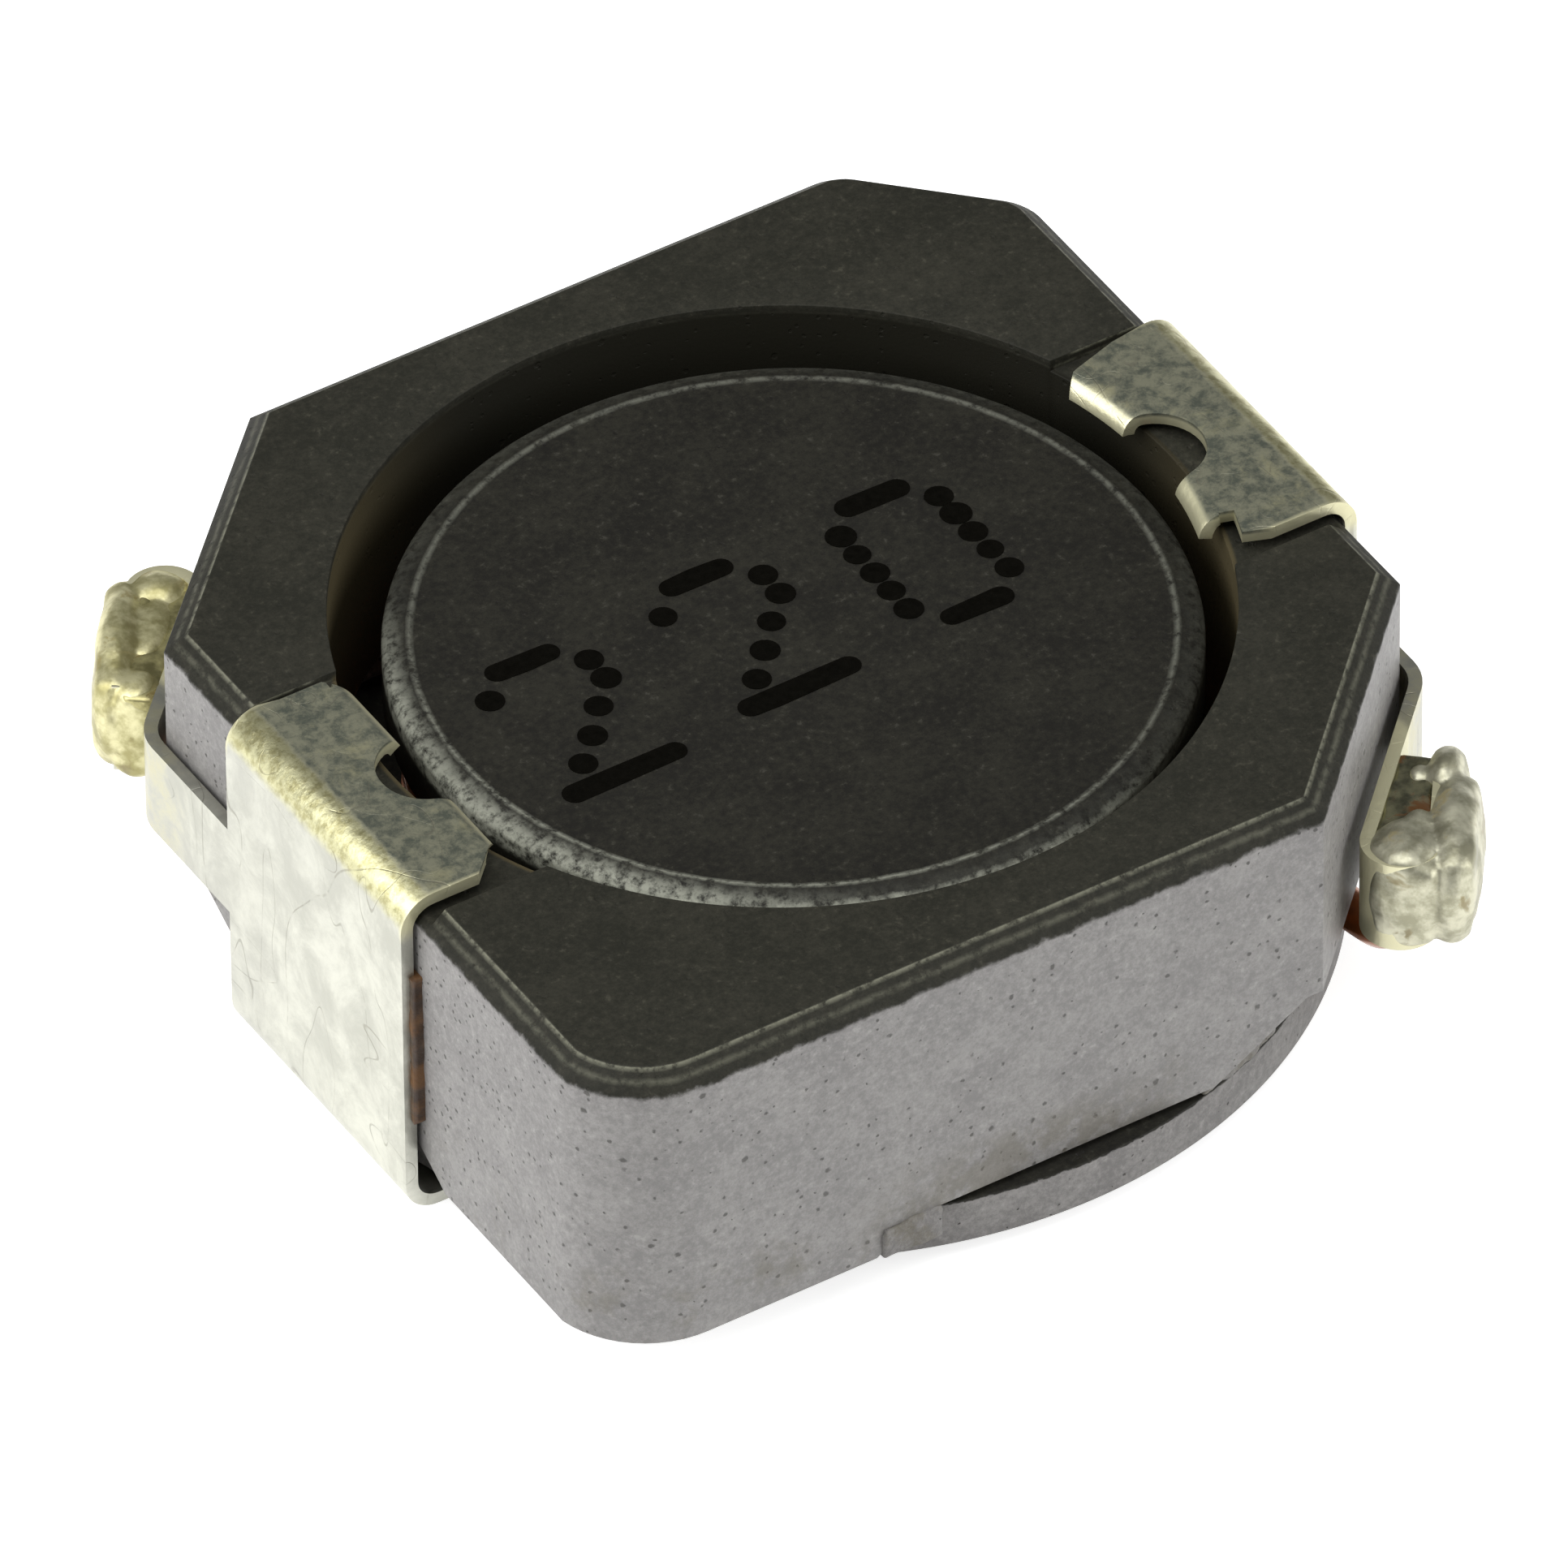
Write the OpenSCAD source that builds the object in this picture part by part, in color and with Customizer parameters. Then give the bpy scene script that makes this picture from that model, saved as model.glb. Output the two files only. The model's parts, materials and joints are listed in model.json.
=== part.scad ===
// Shielded surface-mount power inductor: a ferrite drum with a copper winding, held inside a
// square ferrite ring by two folded solder clips. Millimetres, +Z up, solder pads on Z = 0.

/* [Shield ring] */
// Width of the ring across its flat sides
shield_w = 10.1; // [9.7:0.1:13]
// Height of the ring from its feet to its top face
shield_h = 3.22; // [2.9:0.02:5]
// Diameter of the round hole for the drum
bore_d = 8.4; // [6.6:0.1:8.6]
// Leg of the two large cut corners
corner_cut = 2.38; // [2:0.02:3]
// Radius of the front left corner
corner_r = 1.08; // [0.9:0.02:1.6]
// Distance from the front to the break where that corner meets the clip side
corner_break = 0.83; // [0.5:0.01:0.9]
// Leg of the small cut at the back right corner
back_cut = 1.32; // [0.8:0.02:1.8]
// Radius at both ends of that small cut
back_r = 0.5; // [0.3:0.02:0.8]
// Width of the bevel round the top face
bevel_w = 0.22; // [0.1:0.01:0.4]
// Height of the bevel round the top face
bevel_h = 0.19; // [0.1:0.01:0.4]
// Height of the feet below the underside that faces the drum's lower flange
foot_h = 0.32; // [0.1:0.01:0.5]
// Draft of the pocket wall inside the feet
pocket_draft = 0.18; // [0:0.01:0.3]
// Width of the wire window at its top edge, along a cut corner
window_w = 3.6; // [2.4:0.1:4]
// Height of the wire window above the underside
window_h = 0.62; // [0.55:0.01:0.9]
// Slope of the window's flanks
window_slope = 41; // [30:1:60]
// Depth of the seat in the top face for each clip's tab
seat_depth = 0.13; // [0.05:0.01:0.3]

/* [Drum] */
// Height of the drum over both flanges
drum_h = 3.19; // [2.8:0.01:3.9]
// Diameter of the post that carries the winding
post_d = 4; // [3:0.1:4.6]
// Thickness of the upper flange
top_flange_t = 0.7; // [0.4:0.05:0.9]
// Thickness of the lower flange
low_flange_t = 0.52; // [0.4:0.02:0.7]
// How far the lower flange stands out past the ring's long sides
flange_overhang = 0.08; // [0.05:0.01:0.25]
// Width of the chamfer round the upper flange
rim_w = 0.2; // [0.1:0.01:0.35]
// Height of the chamfer round the upper flange
rim_h = 0.1; // [0.05:0.01:0.3]
// How far the drum sits off centre along X
drum_shift_x = 0.07; // [-0.1:0.01:0.1]
// How far the drum sits off centre along Y
drum_shift_y = -0.07; // [-0.1:0.01:0.1]

/* [Winding] */
// Diameter of the copper wire
wire_d = 0.4; // [0.3:0.01:0.44]
// Layers of wire on the post
layers = 4; // [2:1:4]
// Turns in each layer
turns = 4; // [2:1:4]
// Angle round the drum from a lead's exit back to where it leaves the winding
lead_angle = 50; // [40:1:55]

/* [Terminals] */
// Thickness of the terminal sheet
sheet_t = 0.13; // [0.1:0.01:0.2]
// Width of a clip along its side of the ring
clip_w = 3.07; // [2.2:0.01:3.2]
// Inner radius of the folds over and under the body
fold_r = 0.22; // [0.15:0.01:0.3]
// Length of a solder pad, from the clip's outer face
pad_l = 1.7; // [1:0.05:2.2]
// How far the left clip sits from the middle of its side, away from its hook
left_clip_shift = 0.25; // [0:0.01:0.3]
// How far the right clip sits from the middle of its side, towards its hook
right_clip_shift = 0.12; // [0:0.01:0.3]
// Radius of the round notch in a tab
notch_r = 0.48; // [0.3:0.01:0.6]
// Length cut off each inner corner of a tab
tab_clip = 0.27; // [0.15:0.01:0.4]
// Depth of the two lips that hook into the ring's hole
lip_h = 0.12; // [0.08:0.01:0.4]
// Height of the wing and hook
wing_h = 1.02; // [0.7:0.01:1.3]
// Height of the wing's lower edge above the board
wing_z = 1.43; // [1.41:0.01:1.8]
// Inner radius of the fold round the cut corner
wing_r = 0.4; // [0.2:0.01:0.45]
// Inner radius of the wire hook
hook_r = 0.25; // [0.24:0.01:0.32]
// Angle that a hook folds through, which closes it over the wire
hook_turn = 189; // [180:1:192]
// How far the left hook reaches past the middle of its cut corner
left_hook_reach = 0.68; // [0.5:0.01:1.1]
// How far the right hook reaches past the middle of its cut corner
right_hook_reach = 1; // [0.5:0.01:1.1]
// Length of the left hook's returned outer plate
left_hook_back = 1.35; // [0.8:0.01:1.6]
// Length of the right hook's returned outer plate
right_hook_back = 1.25; // [0.8:0.01:1.6]

/* [Clearances] */
// Between the ring's hole and the drum's upper flange
bore_gap = 0.4; // [0.3:0.01:0.6]
// Between the drum's lower flange and the pocket wall, at the underside
pocket_gap = 0.19; // [0.1:0.01:0.25]
// Between the lower flange and the ring's underside
seat_gap = 0.07; // [0.03:0.01:0.15]
// Between a pad and the lower flange
pad_gap = 0.08; // [0.02:0.01:0.15]
// Between a clip's wall and the ring
wall_gap = 0.05; // [0.03:0.01:0.15]
// Between a clip's wall and the flat on the lower flange
flat_gap = 0.08; // [0.03:0.01:0.2]
// Between a tab and the floor of its seat
tab_gap = 0.11; // [0.03:0.01:0.2]
// Between the ends of a tab and the ends of its seat
tab_end_gap = 0.13; // [0.05:0.01:0.3]
// Between the lips and the wall of the ring's hole
lip_gap = 0.09; // [0.05:0.01:0.15]
// Between a hook's inner plate and the cut corner
hook_gap = 0.12; // [0.06:0.01:0.3]
// Between the winding and the drum
winding_gap = 0.05; // [0.02:0.01:0.15]
// Film between solder or glue and the pieces that it joins
film = 0.01; // [0.005:0.005:0.02]

/* [Hidden] */
$fn = 96;
far = 3 * shield_w;
overrun = 1;
bulge = 1.04;
wire_sides = 32;

// Heights, from the board up
flange_z = sheet_t + pad_gap;
flange_top = flange_z + low_flange_t;
underside_z = flange_top + seat_gap;
foot_z = underside_z - foot_h;
shield_top = foot_z + shield_h;
seat_z = shield_top - seat_depth;
clip_h = seat_z + tab_gap + sheet_t;
drum_top = flange_z + drum_h;
spool_top = drum_top - top_flange_t;

// Plan sizes, from the middle out
half = shield_w / 2;
bore_r = bore_d / 2;
top_flange_r = bore_r - bore_gap;
low_flange_r = half + flange_overhang;
pocket_r = low_flange_r + pocket_gap;
wall_in = half + wall_gap;
wall_out = wall_in + sheet_t;
cut_face = (2 * half - corner_cut) / sqrt(2);
corner_x = half - sqrt(2 * corner_r * corner_break - corner_break ^ 2);
corner_y = half - corner_r;
back_face = (2 * half - back_cut) / sqrt(2);
back_y = half - back_r;
back_x = sqrt(2) * (back_face - back_r) - back_y;

// Tabs: where an inner corner's cut meets the tab's side, and the middle of the notch
tab_corner_x = bore_r + 0.8 * tab_clip;
notch_x = bore_r - 0.2;

// Winding
winding_in = post_d / 2 + winding_gap;
winding_out = min(winding_in + layers * wire_d, top_flange_r - winding_gap);
turn_pitch = (spool_top - flange_top - 2 * winding_gap) / turns;
lead_z = flange_top + winding_gap + wire_d / 2;

// Wing and hook: where the inner faces of the clip wall and of the hook's plate would meet
wing_corner_y = wall_in - sqrt(2) * (cut_face + hook_gap);
wing_corner_s = -(wall_in + wing_corner_y) / sqrt(2);
wing_tangent = wing_r * tan(22.5);
hook_mid = hook_gap + sheet_t + hook_r;
hook_outer_r = hook_r + sheet_t;

// Bends of a lead, each as [along the cut corner from where it stands, out of the face, up
// from the lowest turn], then the heights of its upright part inside the hook
lead_exit = [-0.35, 0.05, 0];
lead_knee = [-0.05, hook_mid - 0.08, 0.18];
lead_foot_z = wing_z + 0.05;
lead_top_z = wing_z + wing_h - 0.28;
lead_from_fold = 0.1;

// Solder in a hook, and the glue
solder_l = 0.95;
solder_z = wing_z + 0.12;
solder_top = wing_z + wing_h - 0.1;
clip_glue_edge = 0.1;
clip_glue_z = underside_z + 0.3;
slit_glue_x = [-2.1, -1.5];
slit_glue_depth = 0.6;
window_glue_x = [1.4, 2.4];
window_glue_depth = 1;
window_glue_top = underside_z + window_h - 0.1;

// Right and left pieces share one module: [clip shift, hook reach, length of the outer plate]
RIGHT = [-right_clip_shift, right_hook_reach, right_hook_back];
LEFT = [left_clip_shift, left_hook_reach, left_hook_back];

// Turns a piece of the right side round to the left side
module left() {
    rotate(180) children();
}

// Puts its children on a cut corner: +X runs along the cut face and +Y out of it
module at_cut_corner() {
    rotate(-135) translate([0, cut_face, 0]) children();
}

// --- Shield ring ---

// A slab of the ring with both top edges bevelled, wide along X
module bevelled_slab(width) {
    rotate([90, 0, 0])
        linear_extrude(far, center = true)
            polygon([
                [-width / 2, 0],
                [width / 2, 0],
                [width / 2, shield_h - bevel_h],
                [width / 2 - bevel_w, shield_h],
                [-width / 2 + bevel_w, shield_h],
                [-width / 2, shield_h - bevel_h]
            ]);
}

// Everything but one corner, which it rounds about a centre and bevels.
// The faces run off from the corner at the two angles.
module round_corner(centre, radius, angles) {
    translate(centre) {
        rotate_extrude()
            polygon([
                [0, 0],
                [radius, 0],
                [radius, shield_h - bevel_h],
                [radius - bevel_w, shield_h],
                [0, shield_h]
            ]);
        for (angle = angles)
            rotate(angle)
                translate([0, -far, 0]) cube([far, 2 * far, shield_h]);
    }
}

// The ring's outline, bevelled all round the top
module ring_blank() {
    intersection() {
        bevelled_slab(shield_w);
        rotate(90) bevelled_slab(shield_w);
        rotate(-45) bevelled_slab(2 * cut_face);
        rotate(45) translate([back_face - far / 2, 0, 0]) bevelled_slab(far);
        round_corner([-corner_x, -corner_y], corner_r, [0, 90]);
        round_corner([back_x, back_y], back_r, [180, -45]);
        round_corner([back_y, back_x], back_r, [-90, 135]);
    }
}

// Seat for a clip's tab, open to the side and to the hole
module tab_seat(shift) {
    length = clip_w + 2 * tab_end_gap;
    translate([0, shift - length / 2, seat_z]) cube([far, length, far]);
}

// Window through the ring under a cut corner, for the lead
module wire_window() {
    drop = window_h + foot_h + overrun;
    flank = drop / tan(window_slope);
    at_cut_corner()
        translate([0, -cut_face / 2, underside_z + window_h])
            rotate([-90, 0, 0])
                linear_extrude(far)
                    polygon([
                        [-window_w / 2, 0],
                        [window_w / 2, 0],
                        [window_w / 2 + flank, drop],
                        [-window_w / 2 - flank, drop]
                    ]);
}

module shield_core() {
    color([0.24, 0.24, 0.22])
        difference() {
            translate([0, 0, foot_z]) ring_blank();
            cylinder(r = bore_r, h = far);
            translate([0, 0, foot_z - overrun])
                cylinder(
                    r1 = pocket_r + pocket_draft * (foot_h + overrun) / foot_h,
                    r2 = pocket_r,
                    h = foot_h + overrun
                );
            tab_seat(-right_clip_shift);
            left() tab_seat(left_clip_shift);
            wire_window();
            left() wire_window();
        }
}

// --- Drum ---

module on_drum_axis() {
    translate([drum_shift_x, drum_shift_y, 0]) children();
}

module drum_core() {
    flat_x = wall_in - flat_gap;
    color([0.22, 0.22, 0.2])
        intersection() {
            on_drum_axis()
                rotate_extrude()
                    polygon([
                        [0, flange_z],
                        [low_flange_r, flange_z],
                        [low_flange_r, flange_top],
                        [post_d / 2, flange_top],
                        [post_d / 2, spool_top],
                        [top_flange_r, spool_top],
                        [top_flange_r, drum_top - rim_h],
                        [top_flange_r - rim_w, drum_top],
                        [0, drum_top]
                    ]);
            translate([-flat_x, -far / 2, 0]) cube([2 * flat_x, far, far]);
        }
}

// --- Winding, one wire with both its leads ---

// A length of round wire through a list of points, each bend a little fuller than the wire
module wire(points) {
    for (i = [1 : len(points) - 1]) {
        step = points[i] - points[i - 1];
        translate(points[i - 1])
            rotate([0, acos(step.z / norm(step)), atan2(step.y, step.x)])
                cylinder(d = wire_d, h = norm(step), $fn = wire_sides);
    }
    for (i = [0 : len(points) - 1])
        translate(points[i]) sphere(d = wire_d * bulge, $fn = wire_sides);
}

// A lead, from the lowest outer turn out through the window and up into the hook
module lead(reach) {
    start_r = winding_out - wire_d / 2;
    s = lead_s(reach);
    base = [s, 0, lead_z];
    at_cut_corner()
        wire([
            [-start_r * sin(lead_angle), start_r * cos(lead_angle) - cut_face, lead_z],
            base + lead_exit,
            base + lead_knee,
            [s, hook_mid, lead_foot_z],
            [s, hook_mid, lead_top_z]
        ]);
}

// Where a lead stands in a hook that reaches so far
function lead_s(reach) = reach - hook_outer_r - lead_from_fold;

module winding() {
    color([0.72, 0.4, 0.2]) {
        on_drum_axis()
            rotate_extrude() {
                translate([winding_in, flange_top + winding_gap])
                    square([
                        winding_out - winding_in - wire_d / 2,
                        turns * turn_pitch
                    ]);
                for (i = [0 : turns - 1])
                    translate([
                        winding_out - turn_pitch / 2,
                        flange_top + winding_gap + (i + 0.5) * turn_pitch
                    ])
                        circle(d = turn_pitch, $fn = wire_sides);
            }
        lead(right_hook_reach);
        left() lead(left_hook_reach);
    }
}

// --- Terminals, each folded from one sheet ---

// A strip of sheet along +X, as [straight length, turn, inner radius] for each fold.
// It lies on Y = 0, is sheet_t thick and stands up by width along Z.
module folded_strip(moves, width, i = 0) {
    run = moves[i][0];
    turn = moves[i][1];
    radius = moves[i][2];
    centre_y = turn > 0 ? sheet_t + radius : -radius;
    cube([run, sheet_t, width]);
    if (turn != 0)
        translate([run, centre_y, 0]) {
            rotate(turn > 0 ? -90 : 90 + turn)
                rotate_extrude(angle = abs(turn))
                    translate([radius, 0]) square([sheet_t, width]);
            rotate(turn)
                translate([0, -centre_y, 0])
                    folded_strip(moves, width, i + 1);
        }
}

// Pad, wall and tab of a clip, as one strip folded round the body
module clip_strip(shift) {
    fold_out = fold_r + sheet_t;
    translate([wall_out - pad_l, shift + clip_w / 2, 0])
        rotate([90, 0, 0])
            folded_strip([
                [pad_l - fold_out, 90, fold_r],
                [clip_h - 2 * fold_out, 90, fold_r],
                [wall_out - fold_out - bore_r / 2, 0, 0]
            ], clip_w);
}

// The two lips at a tab's inner edge, turned down along the wall of the hole
module lips(shift) {
    lip_out = bore_r - lip_gap;
    lip_in = lip_out - sheet_t;
    bend_r = lip_gap - film;
    bend_z = clip_h - sheet_t - bend_r;
    length = clip_w - 2 * tab_clip;
    intersection() {
        rotate(-45)
            rotate_extrude(angle = 90) {
                translate([lip_in, bend_z - lip_h]) square([sheet_t, lip_h]);
                translate([bore_r - film, bend_z + bend_r]) square([sheet_t, sheet_t]);
                intersection() {
                    translate([lip_out + bend_r, bend_z])
                        difference() {
                            circle(bend_r + sheet_t, $fn = 48);
                            circle(bend_r, $fn = 48);
                        }
                    translate([lip_in, bend_z]) square(sheet_t + bend_r);
                }
            }
        translate([0, shift - length / 2, 0]) cube([far, length, far]);
    }
}

// What is cut from a tab: the hole's outline inside the lips, and both inner corners
module tab_trim(shift) {
    translate([0, 0, seat_z]) cylinder(r = bore_r - film, h = far);
    for (side = [-1, 1])
        translate([tab_corner_x, shift + side * clip_w / 2, seat_z])
            rotate(180 - 45 * side)
                translate([0, -far / 2, 0]) cube([far, far, far]);
}

module notch(shift) {
    translate([notch_x, shift, shield_top / 2]) cylinder(r = notch_r, h = far);
}

// Wing that leaves the wall, turns along the cut corner and folds back as a hook
module wing(shift, reach, back) {
    turn_s = reach - hook_outer_r;
    translate([wall_in, shift - clip_w / 2, wing_z])
        rotate(-90)
            folded_strip([
                [shift - clip_w / 2 - wing_corner_y - wing_tangent, -45, wing_r],
                [turn_s - wing_corner_s - wing_tangent, hook_turn, hook_r],
                [back, 0, 0]
            ], wing_h);
}

module terminal(shift, reach, back) {
    color([0.8, 0.8, 0.76]) {
        difference() {
            clip_strip(shift);
            tab_trim(shift);
            notch(shift);
        }
        difference() {
            lips(shift);
            notch(shift);
        }
        wing(shift, reach, back);
    }
}

module terminal_right() {
    terminal(RIGHT[0], RIGHT[1], RIGHT[2]);
}

module terminal_left() {
    left() terminal(LEFT[0], LEFT[1], LEFT[2]);
}

// --- Solder and glue ---

// Solder that fills a hook round the end of its lead
module solder(reach) {
    radius = hook_r - film;
    color([0.82, 0.8, 0.66])
        at_cut_corner()
            difference() {
                translate([reach - hook_outer_r, hook_mid, solder_z])
                    linear_extrude(solder_top - solder_z) {
                        circle(radius);
                        intersection() {
                            translate([-solder_l, -radius]) square([solder_l, 2 * radius]);
                            rotate(hook_turn - 180)
                                translate([-far, radius - far]) square(far);
                        }
                    }
                translate([lead_s(reach), hook_mid, 0]) cylinder(d = wire_d + 2 * film, h = far);
            }
}

// Glue between a clip's wall and the ring
module clip_glue(shift) {
    color([0.45, 0.3, 0.16])
        translate([half + film, shift - clip_w / 2 + clip_glue_edge, clip_glue_z])
            cube([wall_gap - 2 * film, clip_w - 2 * clip_glue_edge, shield_h / 2]);
}

// Glue that fills a block of space along the front side, or along the back one when turned
// half round, wherever the ring and the drum leave room
module glue(turn, ends, depth, top_z) {
    bottom_z = flange_z + low_flange_t / 2;
    color([0.5, 0.49, 0.46])
        difference() {
            rotate(turn)
                translate([ends[0], -half - film, bottom_z])
                    cube([ends[1] - ends[0], depth, top_z - bottom_z]);
            shield_core();
            drum_core();
        }
}

// Glue at the end of a slit that is away from the window
module slit_glue(turn) {
    glue(turn, slit_glue_x, slit_glue_depth, underside_z - film);
}

// Glue between the flange and the window's flank, shaped to the flange's edge
module window_glue(turn) {
    intersection() {
        glue(turn, window_glue_x, window_glue_depth, window_glue_top);
        on_drum_axis() cylinder(r = low_flange_r - film, h = far);
    }
}

shield_core();
drum_core();
winding();
terminal_left();
terminal_right();
left() solder(left_hook_reach);  // solder_left
solder(right_hook_reach);  // solder_right
left() clip_glue(left_clip_shift);  // clip_glue_left
clip_glue(-right_clip_shift);  // clip_glue_right
slit_glue(0);  // glue_front_left
window_glue(0);  // glue_front_right
window_glue(180);  // glue_back_left
slit_glue(180);  // glue_back_right
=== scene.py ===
"""Looks for a shielded surface-mount power inductor, laid out as an add-on and run as a script."""

import json
import math

import bmesh
import bpy
from bpy.props import FloatProperty, FloatVectorProperty, PointerProperty, StringProperty
from mathutils import Euler, Matrix, Vector, noise

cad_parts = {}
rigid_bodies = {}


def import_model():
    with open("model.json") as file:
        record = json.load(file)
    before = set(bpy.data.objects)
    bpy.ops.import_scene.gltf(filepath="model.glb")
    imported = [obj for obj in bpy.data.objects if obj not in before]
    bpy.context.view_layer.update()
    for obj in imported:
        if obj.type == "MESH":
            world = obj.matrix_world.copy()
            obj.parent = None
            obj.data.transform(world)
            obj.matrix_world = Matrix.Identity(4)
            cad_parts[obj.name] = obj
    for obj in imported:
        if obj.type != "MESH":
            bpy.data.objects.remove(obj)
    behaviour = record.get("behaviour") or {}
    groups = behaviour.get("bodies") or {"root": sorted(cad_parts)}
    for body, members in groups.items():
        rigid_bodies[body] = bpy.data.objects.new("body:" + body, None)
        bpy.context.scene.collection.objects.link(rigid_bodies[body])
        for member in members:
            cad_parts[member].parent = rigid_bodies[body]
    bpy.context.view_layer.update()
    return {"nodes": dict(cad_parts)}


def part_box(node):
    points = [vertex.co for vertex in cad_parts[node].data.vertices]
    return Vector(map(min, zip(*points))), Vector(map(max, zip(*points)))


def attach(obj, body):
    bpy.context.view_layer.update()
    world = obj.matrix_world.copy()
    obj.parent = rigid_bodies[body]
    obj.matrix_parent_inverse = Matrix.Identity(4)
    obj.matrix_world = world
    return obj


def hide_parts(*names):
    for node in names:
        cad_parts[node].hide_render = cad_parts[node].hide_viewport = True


bl_info = {
    "name": "Shielded Inductor Looks",
    "version": (1, 0, 0),
    "blender": (4, 5, 0),
    "location": "View3D > Sidebar > Inductor",
    "description": "Models and finishes a shielded surface-mount power inductor round its frame",
    "category": "Object",
}

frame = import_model()

# --- Sizes in millimetres, read from the frame or the same as in the part's construction ---

MM = 0.001


def box_mm(node):
    """A node's lowest and highest corners, in millimetres."""
    low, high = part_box(node)
    return low / MM, high / MM


RING_LOW, RING_HIGH = box_mm("shield_core")
DRUM_LOW, DRUM_HIGH = box_mm("drum_core")
CLIP_HIGH = box_mm("terminal_right")[1]

HALF = RING_HIGH.x
RING_TOP = RING_HIGH.z
FOOT_Z = RING_LOW.z
FOOT_H = 0.32
UNDERSIDE_Z = FOOT_Z + FOOT_H
BORE_R = 4.2
BEVEL_W = 0.22
BEVEL_H = 0.19
CORNER_CUT = 2.38
CUT_FACE = (2 * HALF - CORNER_CUT) / math.sqrt(2)
CORNER_R = 1.08
CORNER_BREAK = 0.83
BACK_CUT = 1.32
BACK_R = 0.5
SEAT_FLOOR = RING_TOP - 0.13
SEAT_PLAY = 0.13

DRUM_X = 0.07
DRUM_Y = -0.07
DRUM_TOP = DRUM_HIGH.z
RIM_R = 3.8
POST_R = 2.0
FLANGE_T = 0.7
LOW_FLANGE_R = (DRUM_HIGH.y - DRUM_LOW.y) / 2
LOW_FLANGE_TOP = DRUM_LOW.z + 0.52
POCKET_R = LOW_FLANGE_R + 0.19
POCKET_FLARE = 0.18

# The upper flange's rounded edge: the height left for it, then its rows of faces, each with how far
# it rises and how far inside the rim it then stands
RIM_ROUND = 0.11
RIM_ROWS = ((0.06, 0.07), (0.04, 0.2), (0.01, 0.24), (-0.012, 0.28), (0.006, 0.36))

SHEET = 0.13
CLIP_TOP = CLIP_HIGH.z
CLIP_W = 3.07
WALL_OUT = CLIP_HIGH.x
WALL_IN = WALL_OUT - SHEET
FOLD_R = 0.22 + SHEET
PAD_L = 1.7
FRONT_R = 4.66
TAB_ROWS = (FRONT_R, 4.45, 4.32)  # how far the tab's rows of faces stand from the middle
LIP_BEND = 0.08
NOTCH_R = 0.48
WING_Z = 1.43
WING_H = 1.02
WING_R = 0.4 + SHEET
HOOK_R = 0.25
HOOK_GAP = 0.12
HOOK_MID = HOOK_GAP + SHEET + HOOK_R
HOOK_TURN = 189

TURNS = 4
WOUND_R = 3.65
INNER_TURNS_R = 3.3
WIRE_R = 0.2

# Points closer than this are merged, and a bend is drawn in steps of about so many degrees
MERGE = 0.0005
DEGREES_A_STEP = 9

# Each side: the clip's shift along Y before the left one is turned half round, how far its hook
# reaches past the middle of the cut corner, the length of the hook's outer plate, then the tab:
# whether its edge is straight, how far that edge stands from the middle, the bend of its lip in
# degrees, the lip's length, how far short of each corner it ends, and the corners' cuts
RIGHT = {
    "shift": -0.12, "reach": 1.0, "back": 1.25,
    "straight": False, "edge": 4.17, "bend": 78,
    "lip": 0.03, "lip_ends": (0.42, 0.08), "clips": (0.17, 0.28),
}
LEFT = {
    "shift": 0.25, "reach": 0.68, "back": 1.35,
    "straight": True, "edge": 4.19, "bend": 60,
    "lip": 0.03, "lip_ends": (0.12, 0.12), "clips": (0.07, 0.2),
}


# --- Modelling helpers ---


def deselect_all():
    if bpy.context.object and bpy.context.object.mode != "OBJECT":
        bpy.ops.object.mode_set(mode="OBJECT")
    bpy.ops.object.select_all(action="DESELECT")


def take(*objects):
    """Selects these objects and makes the last one active."""
    deselect_all()
    for one in objects:
        one.select_set(True)
    bpy.context.view_layer.objects.active = objects[-1]


def added(name):
    """Names the primitive that was just added."""
    piece = bpy.context.object
    piece.name = name
    piece.data.name = name
    return piece


def block(name, low, high):
    """A box between two corners."""
    deselect_all()
    middle = [(a + b) / 2 for a, b in zip(low, high)]
    bpy.ops.mesh.primitive_cube_add(size=1, location=middle)
    piece = added(name)
    piece.scale = [b - a for a, b in zip(low, high)]
    place(piece)
    return piece


def rod(name, radius, low_z, high_z, x=0, y=0, vertices=192):
    """An upright cylinder."""
    deselect_all()
    bpy.ops.mesh.primitive_cylinder_add(
        vertices=vertices, radius=radius, depth=high_z - low_z, location=(x, y, (low_z + high_z) / 2)
    )
    piece = added(name)
    place(piece)
    return piece


def place(piece):
    """Puts an object's place, turn and scale into its mesh."""
    take(piece)
    bpy.ops.object.transform_apply(location=True, rotation=True, scale=True)


def edit(piece, mode="FACE"):
    take(piece)
    bpy.ops.object.mode_set(mode="EDIT")
    bpy.ops.mesh.select_mode(type=mode)
    bpy.ops.mesh.select_all(action="DESELECT")


def take_all():
    bpy.ops.mesh.select_all(action="SELECT")


def extrude(by):
    bpy.ops.mesh.extrude_region_move(TRANSFORM_OT_translate={"value": by})


def leave_edit():
    bpy.ops.object.mode_set(mode="OBJECT")


def middle_of(element):
    if isinstance(element, bmesh.types.BMVert):
        return element.co
    return sum((v.co for v in element.verts), Vector()) / len(element.verts)


def pick(piece, kind, test):
    """Selects the verts, edges or faces of the mesh in edit mode that pass a test."""
    bpy.ops.mesh.select_mode(type={"verts": "VERT", "edges": "EDGE", "faces": "FACE"}[kind])
    bpy.ops.mesh.select_all(action="DESELECT")
    mesh = bmesh.from_edit_mesh(piece.data)
    for element in getattr(mesh, kind):
        if test(element):
            element.select_set(True)
    bmesh.update_edit_mesh(piece.data)


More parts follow.
